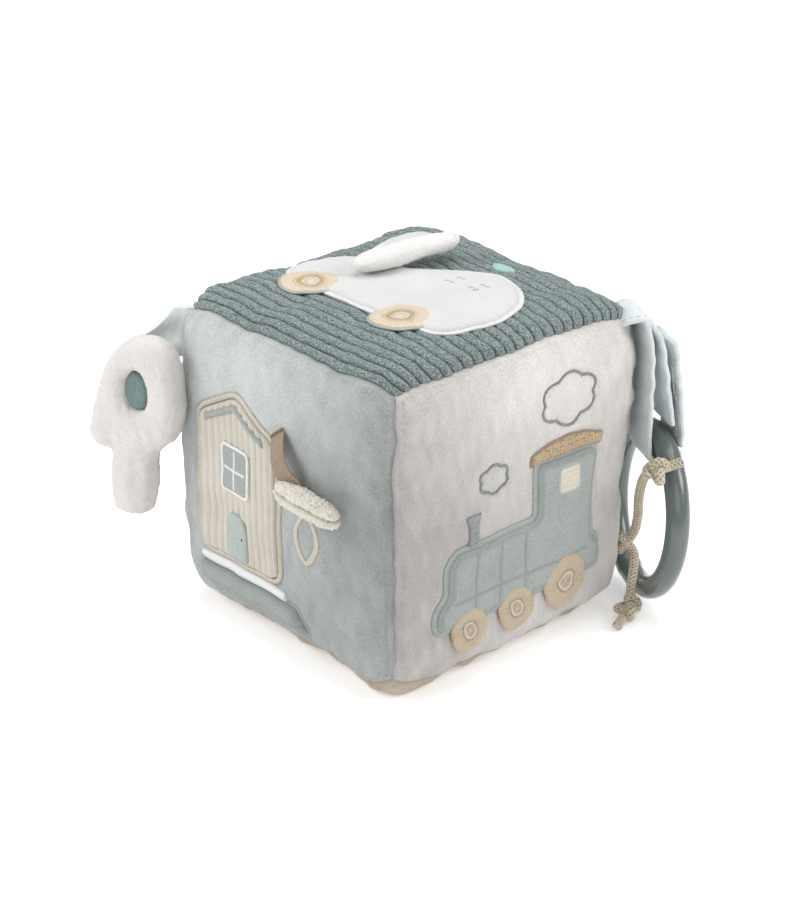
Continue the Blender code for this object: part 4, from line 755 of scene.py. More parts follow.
def patchPiece(name, face, outline, style, relief=None):
    # a triangulated grid inside an outline; for a distance d from the outline its height over the cover is
    # base + thick * sqrt(1 - (1 - d/edge)^2), and an underside closes it
    style = dict(patches, **style)
    step = style["step"]
    low, high = outline.min(0), outline.max(0)
    x, y = np.meshgrid(np.arange(low[0], high[0], step), np.arange(low[1], high[1], step * style["rows"]))
    x[1::2] += step / 2
    inner = np.stack([x.ravel(), y.ravel()], 1)
    inner = inner[isInside(inner, outline)]
    inner = inner[lineGap(inner, outline) > step * style["clear"]]
    count = len(outline)
    edges = [(i, (i + 1) % count) for i in range(count)]
    found = delaunay_2d_cdt([Vector(p) for p in np.vstack([outline, inner])], edges, [], 1, step * 1e-3)
    flat = np.array([tuple(p) for p in found[0]])
    triangles = np.array([f for f in found[2] if len(f) == 3])
    gap = lineGap(flat, outline)
    onEdge = gap < step * 0.05
    share = np.clip(gap / style["edge"], 0, 1)
    lift = style["base"] + style["thick"] * np.sqrt(1 - (1 - share) ** 2)
    # painted shade from the relief, if there is one
    grooveShade = np.zeros(len(flat))
    if relief:
        extra, grooveShade = relief(flat)
        lift = lift + extra * share
    top = coverPoint(face, flat[:, 0], flat[:, 1], lift)
    under = coverPoint(face, flat[:, 0], flat[:, 1], style["base"] - style["sink"])
    index = np.where(onEdge, np.arange(len(flat)), len(flat) + np.arange(len(flat)))
    made = makeMesh(name, np.vstack([top, under]), [triangles, index[triangles][:, ::-1]],
                    dict(grooveShade=np.append(grooveShade, grooveShade)))
    shape = bmesh.new()
    shape.from_mesh(made.data)
    bmesh.ops.delete(shape, geom=[v for v in shape.verts if not v.link_faces], context="VERTS")
    shape.to_mesh(made.data)
    shape.free()
    return turnedOut(made)


stitch = dict(around=12, perThread=4, jag=0.07, jagLength=1.1 * mm, jagSeed=31, slant=0.5, under=0.5 * mm,
              round=0.7, low=0.78, gain=0.30, dark=0.9, gapHigh=0.25, gapWide=0.6)


def stitchLine(name, face, line, style, closed=True):
    # satin stitch: a flat half-round cord laid on the cover, ridged across by its threads, or dashed; painted
    # shade darkens the low places between its threads
    style = dict(stitch, **style)
    step = style["pitch"] / style["perThread"]
    line = evenLine(np.vstack([line, line[:1]]) if closed else line, step, closed)
    along = unit(np.roll(line, -1, 0) - np.roll(line, 1, 0) if closed else np.gradient(line, axis=0))
    across = np.stack([along[:, 1], -along[:, 0]], 1)
    angle = np.linspace(0, 2 * np.pi, style["around"], endpoint=False)
    run = np.arange(len(line)) * step
    jag = 1 + style["jag"] * waves(run[:, None], style["jagLength"], style["jagSeed"])
    px = np.cos(angle)[None] * style["width"] / 2 * jag[:, None]
    thread = np.abs(np.sin(np.pi * (run[:, None] + px * style["slant"]) / style["pitch"])) ** style["round"]
    up = np.sin(angle)[None]
    crest = np.maximum(up, 0) ** style["round"] * style["high"] * (style["low"] + style["gain"] * thread)
    height = np.where(up > 0, crest, up * style["under"])
    if "dash" in style:
        every, long = style["dash"]
        on = ((run % every) < long)[:, None]
        height = np.where(on | (up <= 0), height, height * style["gapHigh"])
        px = np.where(on, px, px * style["gapWide"])
    if not closed:
        taper = np.minimum(1, np.minimum(run, run[::-1]) / (style["width"] / 2))[:, None] ** 0.5
        px, height = px * taper, height * taper
    place = line[:, None] + across[:, None] * px[..., None]
    points = coverPoint(face, place[..., 0], place[..., 1], style["base"] + height).reshape(-1, 3)
    faces = [gridFaces(len(line), len(angle), closed, True)]
    grooveShade = (np.clip(0.5 - thread, 0, 1) * style["dark"] * (up > -0.1)).ravel()
    if not closed:
        points, caps = capEnds(points, len(angle))
        faces.append(caps)
        grooveShade = np.append(grooveShade, [0, 0])
    return turnedOut(makeMesh(name, points, faces, dict(grooveShade=grooveShade)))


disc = dict(middle=(0.02, 0.08), shoulder=(0.8, 0.22), plain=0.12, thread=0.16 * mm, slant=1.5, dark=0.7,
            grooveDark=0.75, rim=0.15 * mm, sunk=0.8 * mm, jag=0.004, jagLength=1.2 * mm, jagSeed=41,
            jagFrom=0.9)


def stitchedDisc(name, face, at, style):
    # a disc wound with radial threads: rings of one angle grid, rounded at the rim, with ring grooves; painted
    # shade darkens the low places between its threads and its ring grooves
    count, spokes = style["rings"], style["threads"] * 4
    radius = np.concatenate([[disc["middle"][0]], np.linspace(disc["middle"][1], 1.0, count), [1.0, 1.0]])
    angle = np.linspace(0, 2 * np.pi, spokes, endpoint=False)
    r, w = np.meshgrid(radius, angle, indexing="ij")
    wound = r > disc["plain"]
    thread = np.abs(np.sin(w * style["threads"] / 2 + disc["slant"] * r))
    start, wide = disc["shoulder"]
    dome = np.sqrt(np.clip(1 - (np.clip(r - start, 0, 1) / wide) ** 2, 0, 1))
    height = style["high"] * dome + disc["thread"] * thread * wound
    grooveShade = np.clip(disc["dark"] - thread, 0, 1) * wound
    for middle, deep, wide in style["grooves"]:
        dip = np.exp(-((r - middle) / wide) ** 2)
        height = height - deep * dip
        grooveShade = np.maximum(grooveShade, dip * disc["grooveDark"])
    height[-2:] = [[disc["rim"]], [-disc["sunk"]]]
    rim = np.stack([np.cos(w), np.sin(w)], -1) * style["radius"]
    edge = waves(rim, disc["jagLength"], disc["jagSeed"]) * (r > disc["jagFrom"])
    reach = r * style["radius"] * (1 + disc["jag"] * edge)
    points = coverPoint(face, at[0] + reach * np.cos(w), at[1] + reach * np.sin(w), style["base"] + height)
    points, caps = capEnds(points.reshape(-1, 3), spokes)
    faces = [gridFaces(len(radius), spokes, False, True), caps]
    return turnedOut(makeMesh(name, points, faces, dict(grooveShade=np.append(grooveShade.ravel(), [0, 0]))))


def placed(shares, wide, high, at):
    # an outline given in shares of a width and a height, about a middle
    return np.array([(at[0] + x * wide, at[1] + y * high) for x, y in shares])


def straight(shares, wide, high, at, step, closed=False):
    # a line with straight stretches, and places at an even step
    line = placed(shares, wide, high, at)
    return evenLine(np.vstack([line, line[:1]]) if closed else line, step, closed)


def circle(at, radius, steps):
    turn = np.linspace(0, 2 * np.pi, steps, endpoint=False)
    return np.array(at) + radius * np.stack([np.cos(turn), np.sin(turn)], 1)


def ribRelief(across, pitch, high, dark=0.8, sharp=0.6, darkBelow=0.6):
    # ribs across one of the two directions: high * (|sin|^sharp - 1), with painted shade in the valleys
    def relief(flat):
        crest = np.abs(np.sin(np.pi * flat[:, across] / pitch)) ** sharp
        return high * (crest - 1), np.clip(darkBelow - crest, 0, 1) * dark
    return relief


def lineRelief(lines, deep, wide, dark=0.7):
    # sewn lines that sink into a patch, darkened with painted shade
    def relief(flat):
        extra, grooveShade = np.zeros(len(flat)), np.zeros(len(flat))
        for line, closed in lines:
            dip = np.exp(-(lineGap(flat, line, closed) / wide) ** 2)
            extra, grooveShade = np.minimum(extra, -deep * dip), np.maximum(grooveShade, dip * dark)
        return extra, grooveShade
    return relief


house = dict(wide=42 * mm, high=64 * mm, at=(-19 * mm, -1 * mm), corner=5 * mm, smallCorner=2 * mm, ribs=12,
             shares=((-0.5, -0.5), (0.5, -0.5), (0.5, 0.33), (0.0, 0.5), (-0.5, 0.33)), piping=1.1 * mm,
             roof=((-0.40, 0.285), (0.0, 0.415), (0.40, 0.285), (0.40, 0.33), (0.0, 0.46), (-0.40, 0.33)),
             window=(15 * mm, 17 * mm), door=(12 * mm, 19 * mm), knob=((0.24, 0.0), (0.32, 0.0)),
             bars=(("Bar", ((0, -0.44), (0, 0.44))), ("Rail", ((-0.42, 0), (0.42, 0)))),
             sill=(48 * mm, 4 * mm), sillGap=2.4 * mm, lawn=(60 * mm, 8.8 * mm), lawnGap=0.3 * mm,
             lawnRibs=3.5, leaf=(11 * mm, 19 * mm), leafAt=(19 * mm, -9 * mm))
boxShares = ((-0.5, -0.5), (0.5, -0.5), (0.5, 0.5), (-0.5, 0.5))
archShares = ((-0.5, -0.5), (0.5, -0.5), (0.5, 0.25), (0.3, 0.45), (0.0, 0.5), (-0.3, 0.45), (-0.5, 0.25))
lawnShares = ((-0.5, -0.35), (-0.42, -0.5), (0.5, -0.5), (0.40, 0.5), (-0.5, 0.5))
leafShares = ((0.0, -0.5), (0.40, -0.22), (0.48, 0.12), (0.0, 0.5), (-0.48, 0.12), (-0.40, -0.22))
satin = dict(width=2.0 * mm, high=0.75 * mm, pitch=0.55 * mm, base=0.1 * mm)
thin = dict(width=1.0 * mm, high=0.45 * mm, pitch=0.5 * mm, base=0.1 * mm)
flatPatch = dict(thick=0.9 * mm, edge=0.9 * mm, base=0.15 * mm)

houseBox = house["wide"], house["high"], house["at"]
houseLine = roundedLine(placed(house["shares"], *houseBox), house["corner"], step=0.6 * mm)
pipeLine = moved(houseLine, house["piping"])
houseFoot = house["at"][1] - house["high"] / 2
sillAt = (house["at"][0] + (house["sill"][0] - house["wide"]) / 4,
          houseFoot - house["sillGap"] - house["sill"][1] / 2)
sillLine = roundedLine(placed(boxShares, *house["sill"], sillAt), radius=1 * mm, step=0.5 * mm)
lawnAt = (house["at"][0] + (house["lawn"][0] - house["wide"]) / 2 - house["corner"] / 2,
          sillAt[1] - house["sill"][1] / 2 - house["lawnGap"] - house["lawn"][1] / 2)
lawnLine = roundedLine(placed(lawnShares, *house["lawn"], lawnAt), house["smallCorner"], step=0.6 * mm)
leafLine = smoothLine(placed(leafShares, *house["leaf"], house["leafAt"]), step=0.5 * mm, closed=True)
sewnLines["front"] += [(pipeLine, 0.9 * mm, 2.0 * mm, True), (lawnLine, 0.9 * mm, 1.6 * mm, True),
                       (leafLine, 0.7 * mm, 1.4 * mm, True)]

engine = dict(wide=84 * mm, high=48 * mm, at=(-1 * mm, -12 * mm), corner=3.5 * mm, gap=0.3 * mm,
              shares=((-0.5, -0.5), (0.46, -0.5), (0.46, -0.28), (0.40, -0.24), (0.40, 0.5), (0.06, 0.5),
                      (0.06, 0.08), (-0.40, 0.08), (-0.44, 0.0), (-0.44, -0.24), (-0.5, -0.34)),
              bands=(-0.30, -0.16, -0.02), bandEnds=(-0.46, 0.04), frame=((-0.42, -0.30), (0.36, -0.30)),
              cab=0.23, window=10 * mm, windowDrop=5 / 6, roof=(34 * mm, 7.5 * mm),
              roofShares=((-0.5, -0.5), (0.5, -0.5), (0.5, 0.0), (0.25, 0.36), (0.0, 0.5), (-0.25, 0.36),
                          (-0.5, 0.0)),
              chimney=(7 * mm, 12 * mm), boiler=(-0.31, 0.08),
              chimneyShares=((-0.32, -0.5), (0.32, -0.5), (0.32, 0.15), (0.5, 0.5), (-0.5, 0.5),
                             (-0.32, 0.15)),
              wheels=(("drive", 0.23, 10.5 * mm), ("middle", -0.06, 8 * mm), ("front", -0.33, 8 * mm)),
              wheelFoot=10.8 * mm, threads=6, puff=10 * mm, puffStep=(3.6, 1.9), puffPlaces=241, bumps=6,
              bumpDeep=0.16, squash=0.75)
engineBox = engine["wide"], engine["high"], engine["at"]
engineLine = roundedLine(placed(engine["shares"], *engineBox), engine["corner"], step=0.6 * mm)
engineFoot = engine["at"][1] - engine["high"] / 2
wheelPlaces = {}
for wheelName, share, radius in engine["wheels"]:
    wheelAt = (engine["at"][0] + share * engine["wide"], engineFoot + radius - engine["wheelFoot"])
    wheelPlaces[wheelName] = (wheelAt, radius)
cabTop = engine["at"][1] + engine["high"] / 2
cabMiddle = engine["at"][0] + engine["cab"] * engine["wide"]
cabRoofAt = (cabMiddle, cabTop + engine["gap"] + engine["roof"][1] / 2)
cabRoofShape = placed(engine["roofShares"], *engine["roof"], cabRoofAt)
cabRoofLine = roundedLine(cabRoofShape, radius=1 * mm, step=0.5 * mm)
boilerX, boilerY = placed([engine["boiler"]], *engineBox)[0]
chimneyAt = (boilerX, boilerY + engine["gap"] + engine["chimney"][1] / 2)
chimneyLine = straight(engine["chimneyShares"], *engine["chimney"], chimneyAt, step=0.5 * mm, closed=True)
smallPuff = np.array(chimneyAt) + [0, engine["chimney"][1] / 2] + engine["puff"]
largePuff = smallPuff + np.array(engine["puffStep"]) * engine["puff"]
puffs = dict(small=(smallPuff, 0.7), large=(largePuff, 1.3))

folds = {"front": (((16, 58), (30, 44), (52, 34), (60, 30)), ((60, 12), (44, 14), (30, 6)),
                   ((8, -20), (24, -34), (50, -40))),
         "right": (((-60, 40), (-40, 34), (-20, 36)), ((-58, -2), (-46, 4), (-34, 2)),
                   ((30, 44), (44, 50), (60, 46)))}
foldDeep, foldReach = 0.55 * mm, 2.6 * mm
for foldFace, foldLines in folds.items():
    for foldLine in foldLines:
        foldPath = smoothLine(np.array(foldLine) * mm, step=2 * mm)
        sewnLines[foldFace].append((foldPath, foldDeep, foldReach, False))
sewnLines["right"] += [(moved(engineLine, 0.9 * mm), 0.9 * mm, 1.8 * mm, True),
                       (cabRoofLine, 0.7 * mm, 1.4 * mm, True)]


def puffLine(at, share):
    # a flattened circle whose radius swells in even bumps
    turn = np.linspace(0, 2 * np.pi, engine["puffPlaces"])
    swell = 1 - engine["bumpDeep"] * (1 - np.abs(np.sin(turn * engine["bumps"] / 2)))
    reach = engine["puff"] * share * swell
    line = np.stack([at[0] + reach * np.cos(turn), at[1] + engine["squash"] * reach * np.sin(turn)], 1)
    return evenLine(line, step=0.5 * mm, closed=True)


for puffAt, puffShare in puffs.values():
    sewnLines["right"].append((puffLine(puffAt, puffShare), 0.6 * mm, 1.2 * mm, False))

rabbit = dict(wide=88 * mm, high=68 * mm, at=(1.5 * mm, 8.3 * mm), base=0.55 * mm,
              shares=((-0.36, -0.49), (-0.02, -0.50), (0.32, -0.49), (0.45, -0.43), (0.49, -0.24),
                      (0.48, -0.03), (0.40, 0.16), (0.26, 0.27), (0.10, 0.26), (-0.04, 0.13), (-0.12, 0.01),
                      (-0.20, 0.0), (-0.24, 0.08), (-0.27, 0.25), (-0.34, 0.42), (-0.43, 0.50),
                      (-0.49, 0.42), (-0.46, 0.22), (-0.40, 0.01), (-0.47, -0.11), (-0.51, -0.27),
                      (-0.47, -0.42)),
              neck=((-0.30, -0.40), (-0.18, -0.24), (-0.16, -0.06)),
              haunch=((0.12, -0.40), (0.13, -0.18), (0.24, 0.0), (0.38, -0.02)),
              discs=(("left", -0.29), ("right", 0.25)), disc=10.5 * mm, foot=0.48,
              leaf=(11 * mm, 7 * mm), leafShare=(0.10, 0.42), markGap=1.3 * mm, markHalf=(0.8 * mm, 0.7 * mm),
              marks=((11 * mm, 10 * mm), (23 * mm, 10 * mm), (12 * mm, 14.5 * mm), (24 * mm, 14.5 * mm)))
rabbitBox = rabbit["wide"], rabbit["high"], rabbit["at"]
rabbitLine = smoothLine(placed(rabbit["shares"], *rabbitBox), step=0.6 * mm, closed=True)
mintAt = placed([rabbit["leafShare"]], *rabbitBox)[0]
mintLine = smoothLine(placed(leafShares, *rabbit["leaf"], mintAt), step=0.4 * mm, closed=True)
sewnLines["top"] += [(rabbitLine, 0.5 * mm, 1.6 * mm, True)]

for faceName, slotName in (("front", "blue_grey_velour"), ("right", "off_white_velour"),
                           ("back", "blue_grey_velour"), ("left", "off_white_velour")):
    makePanel(faceName, slotName)
# the bottom panel gets a darker copy of its corduroy: painted shade
makePanel("bottom", "cream_corduroy", look="sole_shaded_corduroy")
makePanel("top", "teal_corduroy", ribbed=True)
print("the cover has its six panels")


def sewOn(made, slot, node=None, look=None):
    # a piece that stays on the block, and the CAD node that it stands for
    return finish(made, "block", slot, [node] if node else (), look)


def makeHouse():
    wall = dict(thick=1.4 * mm, edge=1.0 * mm, base=0.1 * mm, step=0.55 * mm)
    wales = ribRelief(across=0, pitch=house["wide"] / house["ribs"], high=0.8 * mm)
    sewOn(patchPiece("houseWall", "front", houseLine, wall, wales), "cream_corduroy", "house_wall")
    made = stitchLine("housePiping", "front", pipeLine, dict(satin, high=1.1 * mm))
    sewOn(made, "cream_satin", "house_piping")
    raised = dict(flatPatch, base=1.35 * mm, thick=0.75 * mm, edge=0.6 * mm, step=0.5 * mm, sink=1.0 * mm)
    roofLine = straight(house["roof"], *houseBox, step=0.5 * mm, closed=True)
    sewOn(patchPiece("roofTrim", "front", roofLine, raised), "pale_blue_velour", "house_roof_trim")
    windowAt = (house["at"][0], house["at"][1] + house["window"][1] / 4)
    windowShape = placed(boxShares, *house["window"], windowAt)
    windowLine = roundedLine(windowShape, house["smallCorner"], step=0.5 * mm)
    sewOn(patchPiece("houseWindow", "front", windowLine, raised), "pale_blue_velour", "house_window")
    made = stitchLine("windowBorder", "front", windowLine, dict(thin, width=1.3 * mm, base=1.6 * mm))
    sewOn(made, "white_satin")
    for key, shares in house["bars"]:
        bar = straight(shares, *house["window"], windowAt, step=0.3 * mm)
        made = stitchLine("window" + key, "front", bar, dict(thin, base=1.95 * mm), closed=False)
        sewOn(made, "white_satin")
    doorAt = (house["at"][0], houseFoot + house["door"][1] / 2 + house["smallCorner"] / 2)
    doorLine = roundedLine(placed(archShares, *house["door"], doorAt), house["smallCorner"], step=0.5 * mm)
    threads = ribRelief(across=0, pitch=0.6 * mm, high=0.12 * mm, dark=0.5)
    sewOn(patchPiece("houseDoor", "front", doorLine, raised, threads), "grey_green_satin", "house_door")
    knob = straight(house["knob"], *house["door"], doorAt, step=0.2 * mm)
    made = stitchLine("doorKnob", "front", knob, dict(thin, width=1.4 * mm, base=2.0 * mm), closed=False)
    sewOn(made, "brown_grosgrain", look="brown_thread")
    made = patchPiece("houseSill", "front", sillLine, dict(flatPatch, thick=1.0 * mm, step=0.5 * mm),
                      ribRelief(across=1, pitch=2.0 * mm, high=0.3 * mm, dark=0.3))
    sewOn(made, "white_satin", "house_sill")
    lawn = dict(thick=2.4 * mm, edge=2.2 * mm, base=0.1 * mm, step=0.6 * mm)
    rows = ribRelief(across=1, pitch=house["lawn"][1] / house["lawnRibs"], high=0.5 * mm, dark=0.7)
    made = patchPiece("lawnPad", "front", lawnLine, lawn, rows)
    sewOn(made, "blue_grey_velour", "lawn_pad", "pale_blue_velour")
    made = stitchLine("lawnBorder", "front", moved(lawnLine, 0.2 * mm), dict(thin, width=1.2 * mm))
    sewOn(made, "grey_green_satin")
    sewOn(stitchLine("stitchedLeaf", "front", leafLine, satin), "cream_satin", "stitched_leaf")
    print("the house is sewn on")


def makeEngine():
    low, high = engine["bandEnds"]
    sewn = [(moved(engineLine, -1.6 * mm), True)]
    for shares in (engine["frame"], *(((x, low), (x, high)) for x in engine["bands"])):
        sewn.append((straight(shares, *engineBox, step=0.5 * mm), False))
    body = dict(thick=1.5 * mm, edge=1.6 * mm, base=0.1 * mm, step=0.7 * mm)
    made = patchPiece("engineBody", "right", engineLine, body,
                      lineRelief(sewn, deep=0.6 * mm, wide=0.5 * mm, dark=0.45))
    sewOn(made, "pale_blue_velour", "engine_body")
    made = stitchLine("engineBorder", "right", moved(engineLine, 0.5 * mm), dict(satin, width=2.1 * mm))
    sewOn(made, "grey_green_satin")
    for name, (at, radius) in wheelPlaces.items():
        style = dict(radius=radius, rings=22, threads=int(radius / mm * engine["threads"]), high=0.9 * mm,
                     base=0.9 * mm, grooves=((0.40, 0.30 * mm, 0.04),))
        sewOn(stitchedDisc(name + "Wheel", "right", at, style), "tan_satin", name + "_wheel")
        for key, reach, base, slot, look in (("Hub", 0.30, 1.6, "cream_satin", "cream_satin"),
                                             ("Rim", 0.97, 1.0, "tan_satin", "dark_tan_satin")):
            line = circle(at, reach * radius, steps=60)
            made = stitchLine(name + key, "right", line, dict(thin, width=1.1 * mm, base=base * mm))
            sewOn(made, slot, look=look)
    roof = dict(thick=1.0 * mm, edge=0.8 * mm, base=0.3 * mm, step=0.4 * mm)
    sewOn(patchPiece("cabRoof", "right", cabRoofLine, roof, basketRelief), "tan_weave", "cab_roof")
    made = stitchLine("roofBorder", "right", cabRoofLine, dict(thin, width=0.9 * mm, base=0.3 * mm))
    sewOn(made, "brown_grosgrain")
    windowAt = (cabMiddle, cabTop - engine["window"] * engine["windowDrop"])
    windowShape = placed(boxShares, engine["window"], engine["window"], windowAt)
    windowLine = roundedLine(windowShape, radius=2 * mm, step=0.4 * mm)
    pane = dict(flatPatch, base=1.3 * mm, thick=0.6 * mm, step=0.4 * mm)
    made = patchPiece("cabWindow", "right", windowLine, pane,
                      ribRelief(across=1, pitch=0.6 * mm, high=0.12 * mm, dark=0.5))
    sewOn(made, "cream_satin", "cab_window")
    made = stitchLine("cabWindowBorder", "right", windowLine, dict(thin, width=1.3 * mm, base=1.4 * mm))
    sewOn(made, "grey_green_satin")
    pipe = dict(thick=0.8 * mm, edge=0.7 * mm, base=0.15 * mm, step=0.35 * mm)
    made = patchPiece("chimney", "right", chimneyLine, pipe,
                      ribRelief(across=1, pitch=0.55 * mm, high=0.15 * mm, dark=0.7))
    sewOn(made, "grey_stitch", "engine_chimney")
    dashed = dict(thin, width=0.95 * mm, high=0.5 * mm, base=0.1 * mm, jag=0.3, dash=(2.1 * mm, 1.75 * mm))
    for key, (at, share) in puffs.items():
        made = stitchLine(key + "Puff", "right", puffLine(at, share), dashed)
        sewOn(made, "grey_stitch", f"steam_puff_{key}")
    print("the engine is sewn on")


basket = dict(size=1.7 * mm, deep=0.35 * mm, round=0.6, darkBelow=0.6, dark=1.1)


def basketRelief(flat):
    # a basket weave: two sets of bands that pass over each other in turn, deep * (|sin|^round - 1), with
    # painted shade where the bands dip
    x, y = flat[:, 0] / basket["size"], flat[:, 1] / basket["size"]
    over = (np.floor(x) + np.floor(y)) % 2
    crest = np.abs(np.sin(np.pi * np.where(over > 0, y, x)))
    grooveShade = np.clip(basket["darkBelow"] - crest, 0, 1) * basket["dark"]
    return basket["deep"] * (crest ** basket["round"] - 1), grooveShade


def makeRabbit():
    base = rabbit["base"]
    sewn = [(smoothLine(placed(rabbit[key], *rabbitBox), step=0.5 * mm), False) for key in ("haunch", "neck")]
    body = dict(thick=1.3 * mm, edge=1.8 * mm, base=base, step=0.8 * mm)
    made = patchPiece("rabbitBody", "top", rabbitLine, body,
                      lineRelief(sewn, deep=0.3 * mm, wide=0.7 * mm, dark=0.12))
    sewOn(made, "white_plush", "rabbit_body", "rabbit_plush")
    border = dict(satin, width=2.3 * mm, base=base)
    sewOn(stitchLine("rabbitBorder", "top", moved(rabbitLine, 0.4 * mm), border), "white_satin")
    foot = rabbit["at"][1] - rabbit["foot"] * rabbit["high"]
    style = dict(radius=rabbit["disc"], rings=24, threads=64, high=0.6 * mm, base=1.3 * mm,
                 grooves=((0.56, 0.15 * mm, 0.04),))
    trims = (("Tyre", 0.40, 2.0, 1.8, "tan_satin", "dark_tan_satin"),
             ("Hub", 0.20, 1.6, 1.8, "cream_satin", "cream_satin"),
             ("Edge", 1.02, 1.5, 1.1, "grey_green_satin", "grey_green_satin"))
    for name, share in rabbit["discs"]:
        at = (rabbit["at"][0] + share * rabbit["wide"], foot)
        sewOn(stitchedDisc(name + "Disc", "top", at, style), "cream_satin", name + "_disc", "disc_satin")
        for key, reach, wide, lift, slot, look in trims:
            line = circle(at, reach * rabbit["disc"], steps=80)
            trim = dict(thin, width=wide * mm, high=0.4 * mm, base=lift * mm)
            sewOn(stitchLine(name + key, "top", line, trim), slot, look=look)
    leaf = dict(thick=0.9 * mm, edge=0.8 * mm, base=base, step=0.4 * mm)
    made = patchPiece("mintLeaf", "top", mintLine, leaf,
                      ribRelief(across=0, pitch=0.6 * mm, high=0.12 * mm, dark=0.5))
    sewOn(made, "mint_satin", "mint_leaf")
    half = np.array(rabbit["markHalf"])
    sewnMark = dict(thin, width=0.8 * mm, base=base + 1.2 * mm)
    for index, mark in enumerate(rabbit["marks"]):
        for letter, way in (("a", -1), ("b", 1)):
            middle = np.array(mark) + [way * rabbit["markGap"], 0]
            dash = evenLine(np.array([middle - half, middle + half]), step=0.2 * mm)
            made = stitchLine(f"mark{index}{letter}", "top", dash, sewnMark, closed=False)
            sewOn(made, "grey_stitch", look="faint_stitch")
    print("the rabbit is sewn on")


makeHouse()
makeEngine()
makeRabbit()

towards, rightOut, leftOut = (unit(np.array(v, float)) for v in ((1, -1, 0), (1, 1, 0), (-1, -1, 0)))

# Plush pieces: the stuffed solids again, remeshed finely, with a tufted surface
plush = dict(voxel=0.7 * mm, smooth=8, dark=0.15, swell=0.0, ways=16, merge=0.01 * mm,
             tufts=((16 * mm, 0.22 * mm, 51), (5 * mm, 0.10 * mm, 52), (1.9 * mm, 0.08 * mm, 53),
                    (1.1 * mm, 0.06 * mm, 54)))
terry = dict(plush, voxel=0.4 * mm, smooth=3, dark=0.75,
             tufts=((9 * mm, 0.20 * mm, 61), (1.5 * mm, 0.26 * mm, 62), (0.9 * mm, 0.14 * mm, 63)))
holePatch = dict(plush, voxel=0.35 * mm, smooth=2, swell=1.1 * mm, tufts=((1.5 * mm, 0.1 * mm, 71),))


def plushPiece(name, node, style):
    # a merged copy of the solid, remeshed, whose points move along their normals by waves of a few sizes;
    # painted shade darkens its hollows
    data = frame["nodes"][node].data.copy()
    shape = bmesh.new()
    shape.from_mesh(data)
    bmesh.ops.remove_doubles(shape, verts=shape.verts, dist=style["merge"])
    bmesh.ops.recalc_face_normals(shape, faces=shape.faces)
    shape.to_mesh(data)
    shape.free()
    made = bpy.data.objects.new(name, data)
    scene.collection.objects.link(made)
    remesh = made.modifiers.new("remesh", "REMESH")
    remesh.mode, remesh.voxel_size = "VOXEL", style["voxel"]
    smooth = made.modifiers.new("smooth", "SMOOTH")
    smooth.factor, smooth.iterations = 0.5, style["smooth"]
    bpy.context.view_layer.update()
    mesh = bpy.data.meshes.new_from_object(made.evaluated_get(bpy.context.evaluated_depsgraph_get()))
    made.modifiers.clear()
    made.data = mesh
    points, normals = readPoints(mesh), readPoints(mesh, "normal")
    height = sum(deep * waves(points, length, seed, style["ways"]) for length, deep, seed in style["tufts"])
    height = height + style["swell"]
    if "shape" in style:
        height = height + style["shape"](points)
    writePoints(mesh, points + normals * height[:, None])
    mesh.polygons.foreach_set("use_smooth", np.ones(len(mesh.polygons), bool))
    grooveShade = np.clip(-height / (abs(height).max() + 1e-9), 0, 1) * style["dark"]
    field = mesh.attributes.new("grooveShade", "FLOAT", "POINT")
    field.data.foreach_set("value", grooveShade.astype(np.float32))
    mesh.update()
    return made


keyForm = dict(top=82.72 * mm, out=95.39 * mm, aside=9.2 * mm, turn=24.0,
               shaft=(1.1 * mm, 25 * mm, 1.5 * mm), tip=(2.6 * mm, 46.4 * mm, 0.6 * mm),
               corner=(1.5 * mm, 17 * mm, 6 * mm), cornerAside=(9 * mm, 7 * mm))


def rising(values, high, at, soft):
    # from 0 to high about a place: high / (1 + exp(-x))
    return high / (1 + np.exp(-(values - at) / soft))


def keyFullness(points):
    # the shaft is fuller than its core and its end is flatter, and the head is full, by a bell-shaped swell,
    # down to its lower corners
    below = keyForm["top"] - points[:, 2]
    turn = math.radians(keyForm["turn"])
    across = leftOut * math.cos(turn) - towards * math.sin(turn)
    aside = np.abs((points - leftOut * keyForm["out"] - towards * keyForm["aside"]) @ across)
    (high, at, reach), (start, wide) = keyForm["corner"], keyForm["cornerAside"]
    swell = high * np.exp(-((below - at) / reach) ** 2) * np.clip((aside - start) / wide, 0, 1)
    return rising(below, *keyForm["shaft"]) - rising(below, *keyForm["tip"]) + swell


tabFold = dict(at=(14.735, -68.573, 74.88), lean=3.0, above=5.2 * mm, deep=1.5 * mm, wide=0.75 * mm)


def foldedEdge(points):
    # the tab is two layers folded together: a bell-shaped crease runs along both sides, above the middle
    lean = math.radians(tabFold["lean"])
    up = np.array([math.sin(lean), 0, math.cos(lean)])
    high = (points - np.array(tabFold["at"]) * mm) @ up + tabFold["above"]
    return -tabFold["deep"] * np.exp(-(high / tabFold["wide"]) ** 2)


plushKey = plushPiece("plushKey", "key_tag", dict(plush, shape=keyFullness))
finish(plushKey, "key", "white_plush", ["key_tag"])
paddedEar = plushPiece("paddedEar", "ear_flap", dict(plush, voxel=0.6 * mm))
# the ear gets a lighter copy of the white plush: painted light
finish(paddedEar, "ear", "white_plush", ["ear_flap"], "ear_lit_plush")
terryTab = plushPiece("terryTab", "terry_tab", dict(terry, shape=foldedEdge))
finish(terryTab, "tab", "cream_terry", ["terry_tab"])
keyHolePatch = plushPiece("keyHolePatch", "key_hole_patch", holePatch)
finish(keyHolePatch, "key", "teal_corduroy", ["key_hole_patch"], "teal_velour")
print("the plush key, the ear and the terry tab are stuffed")

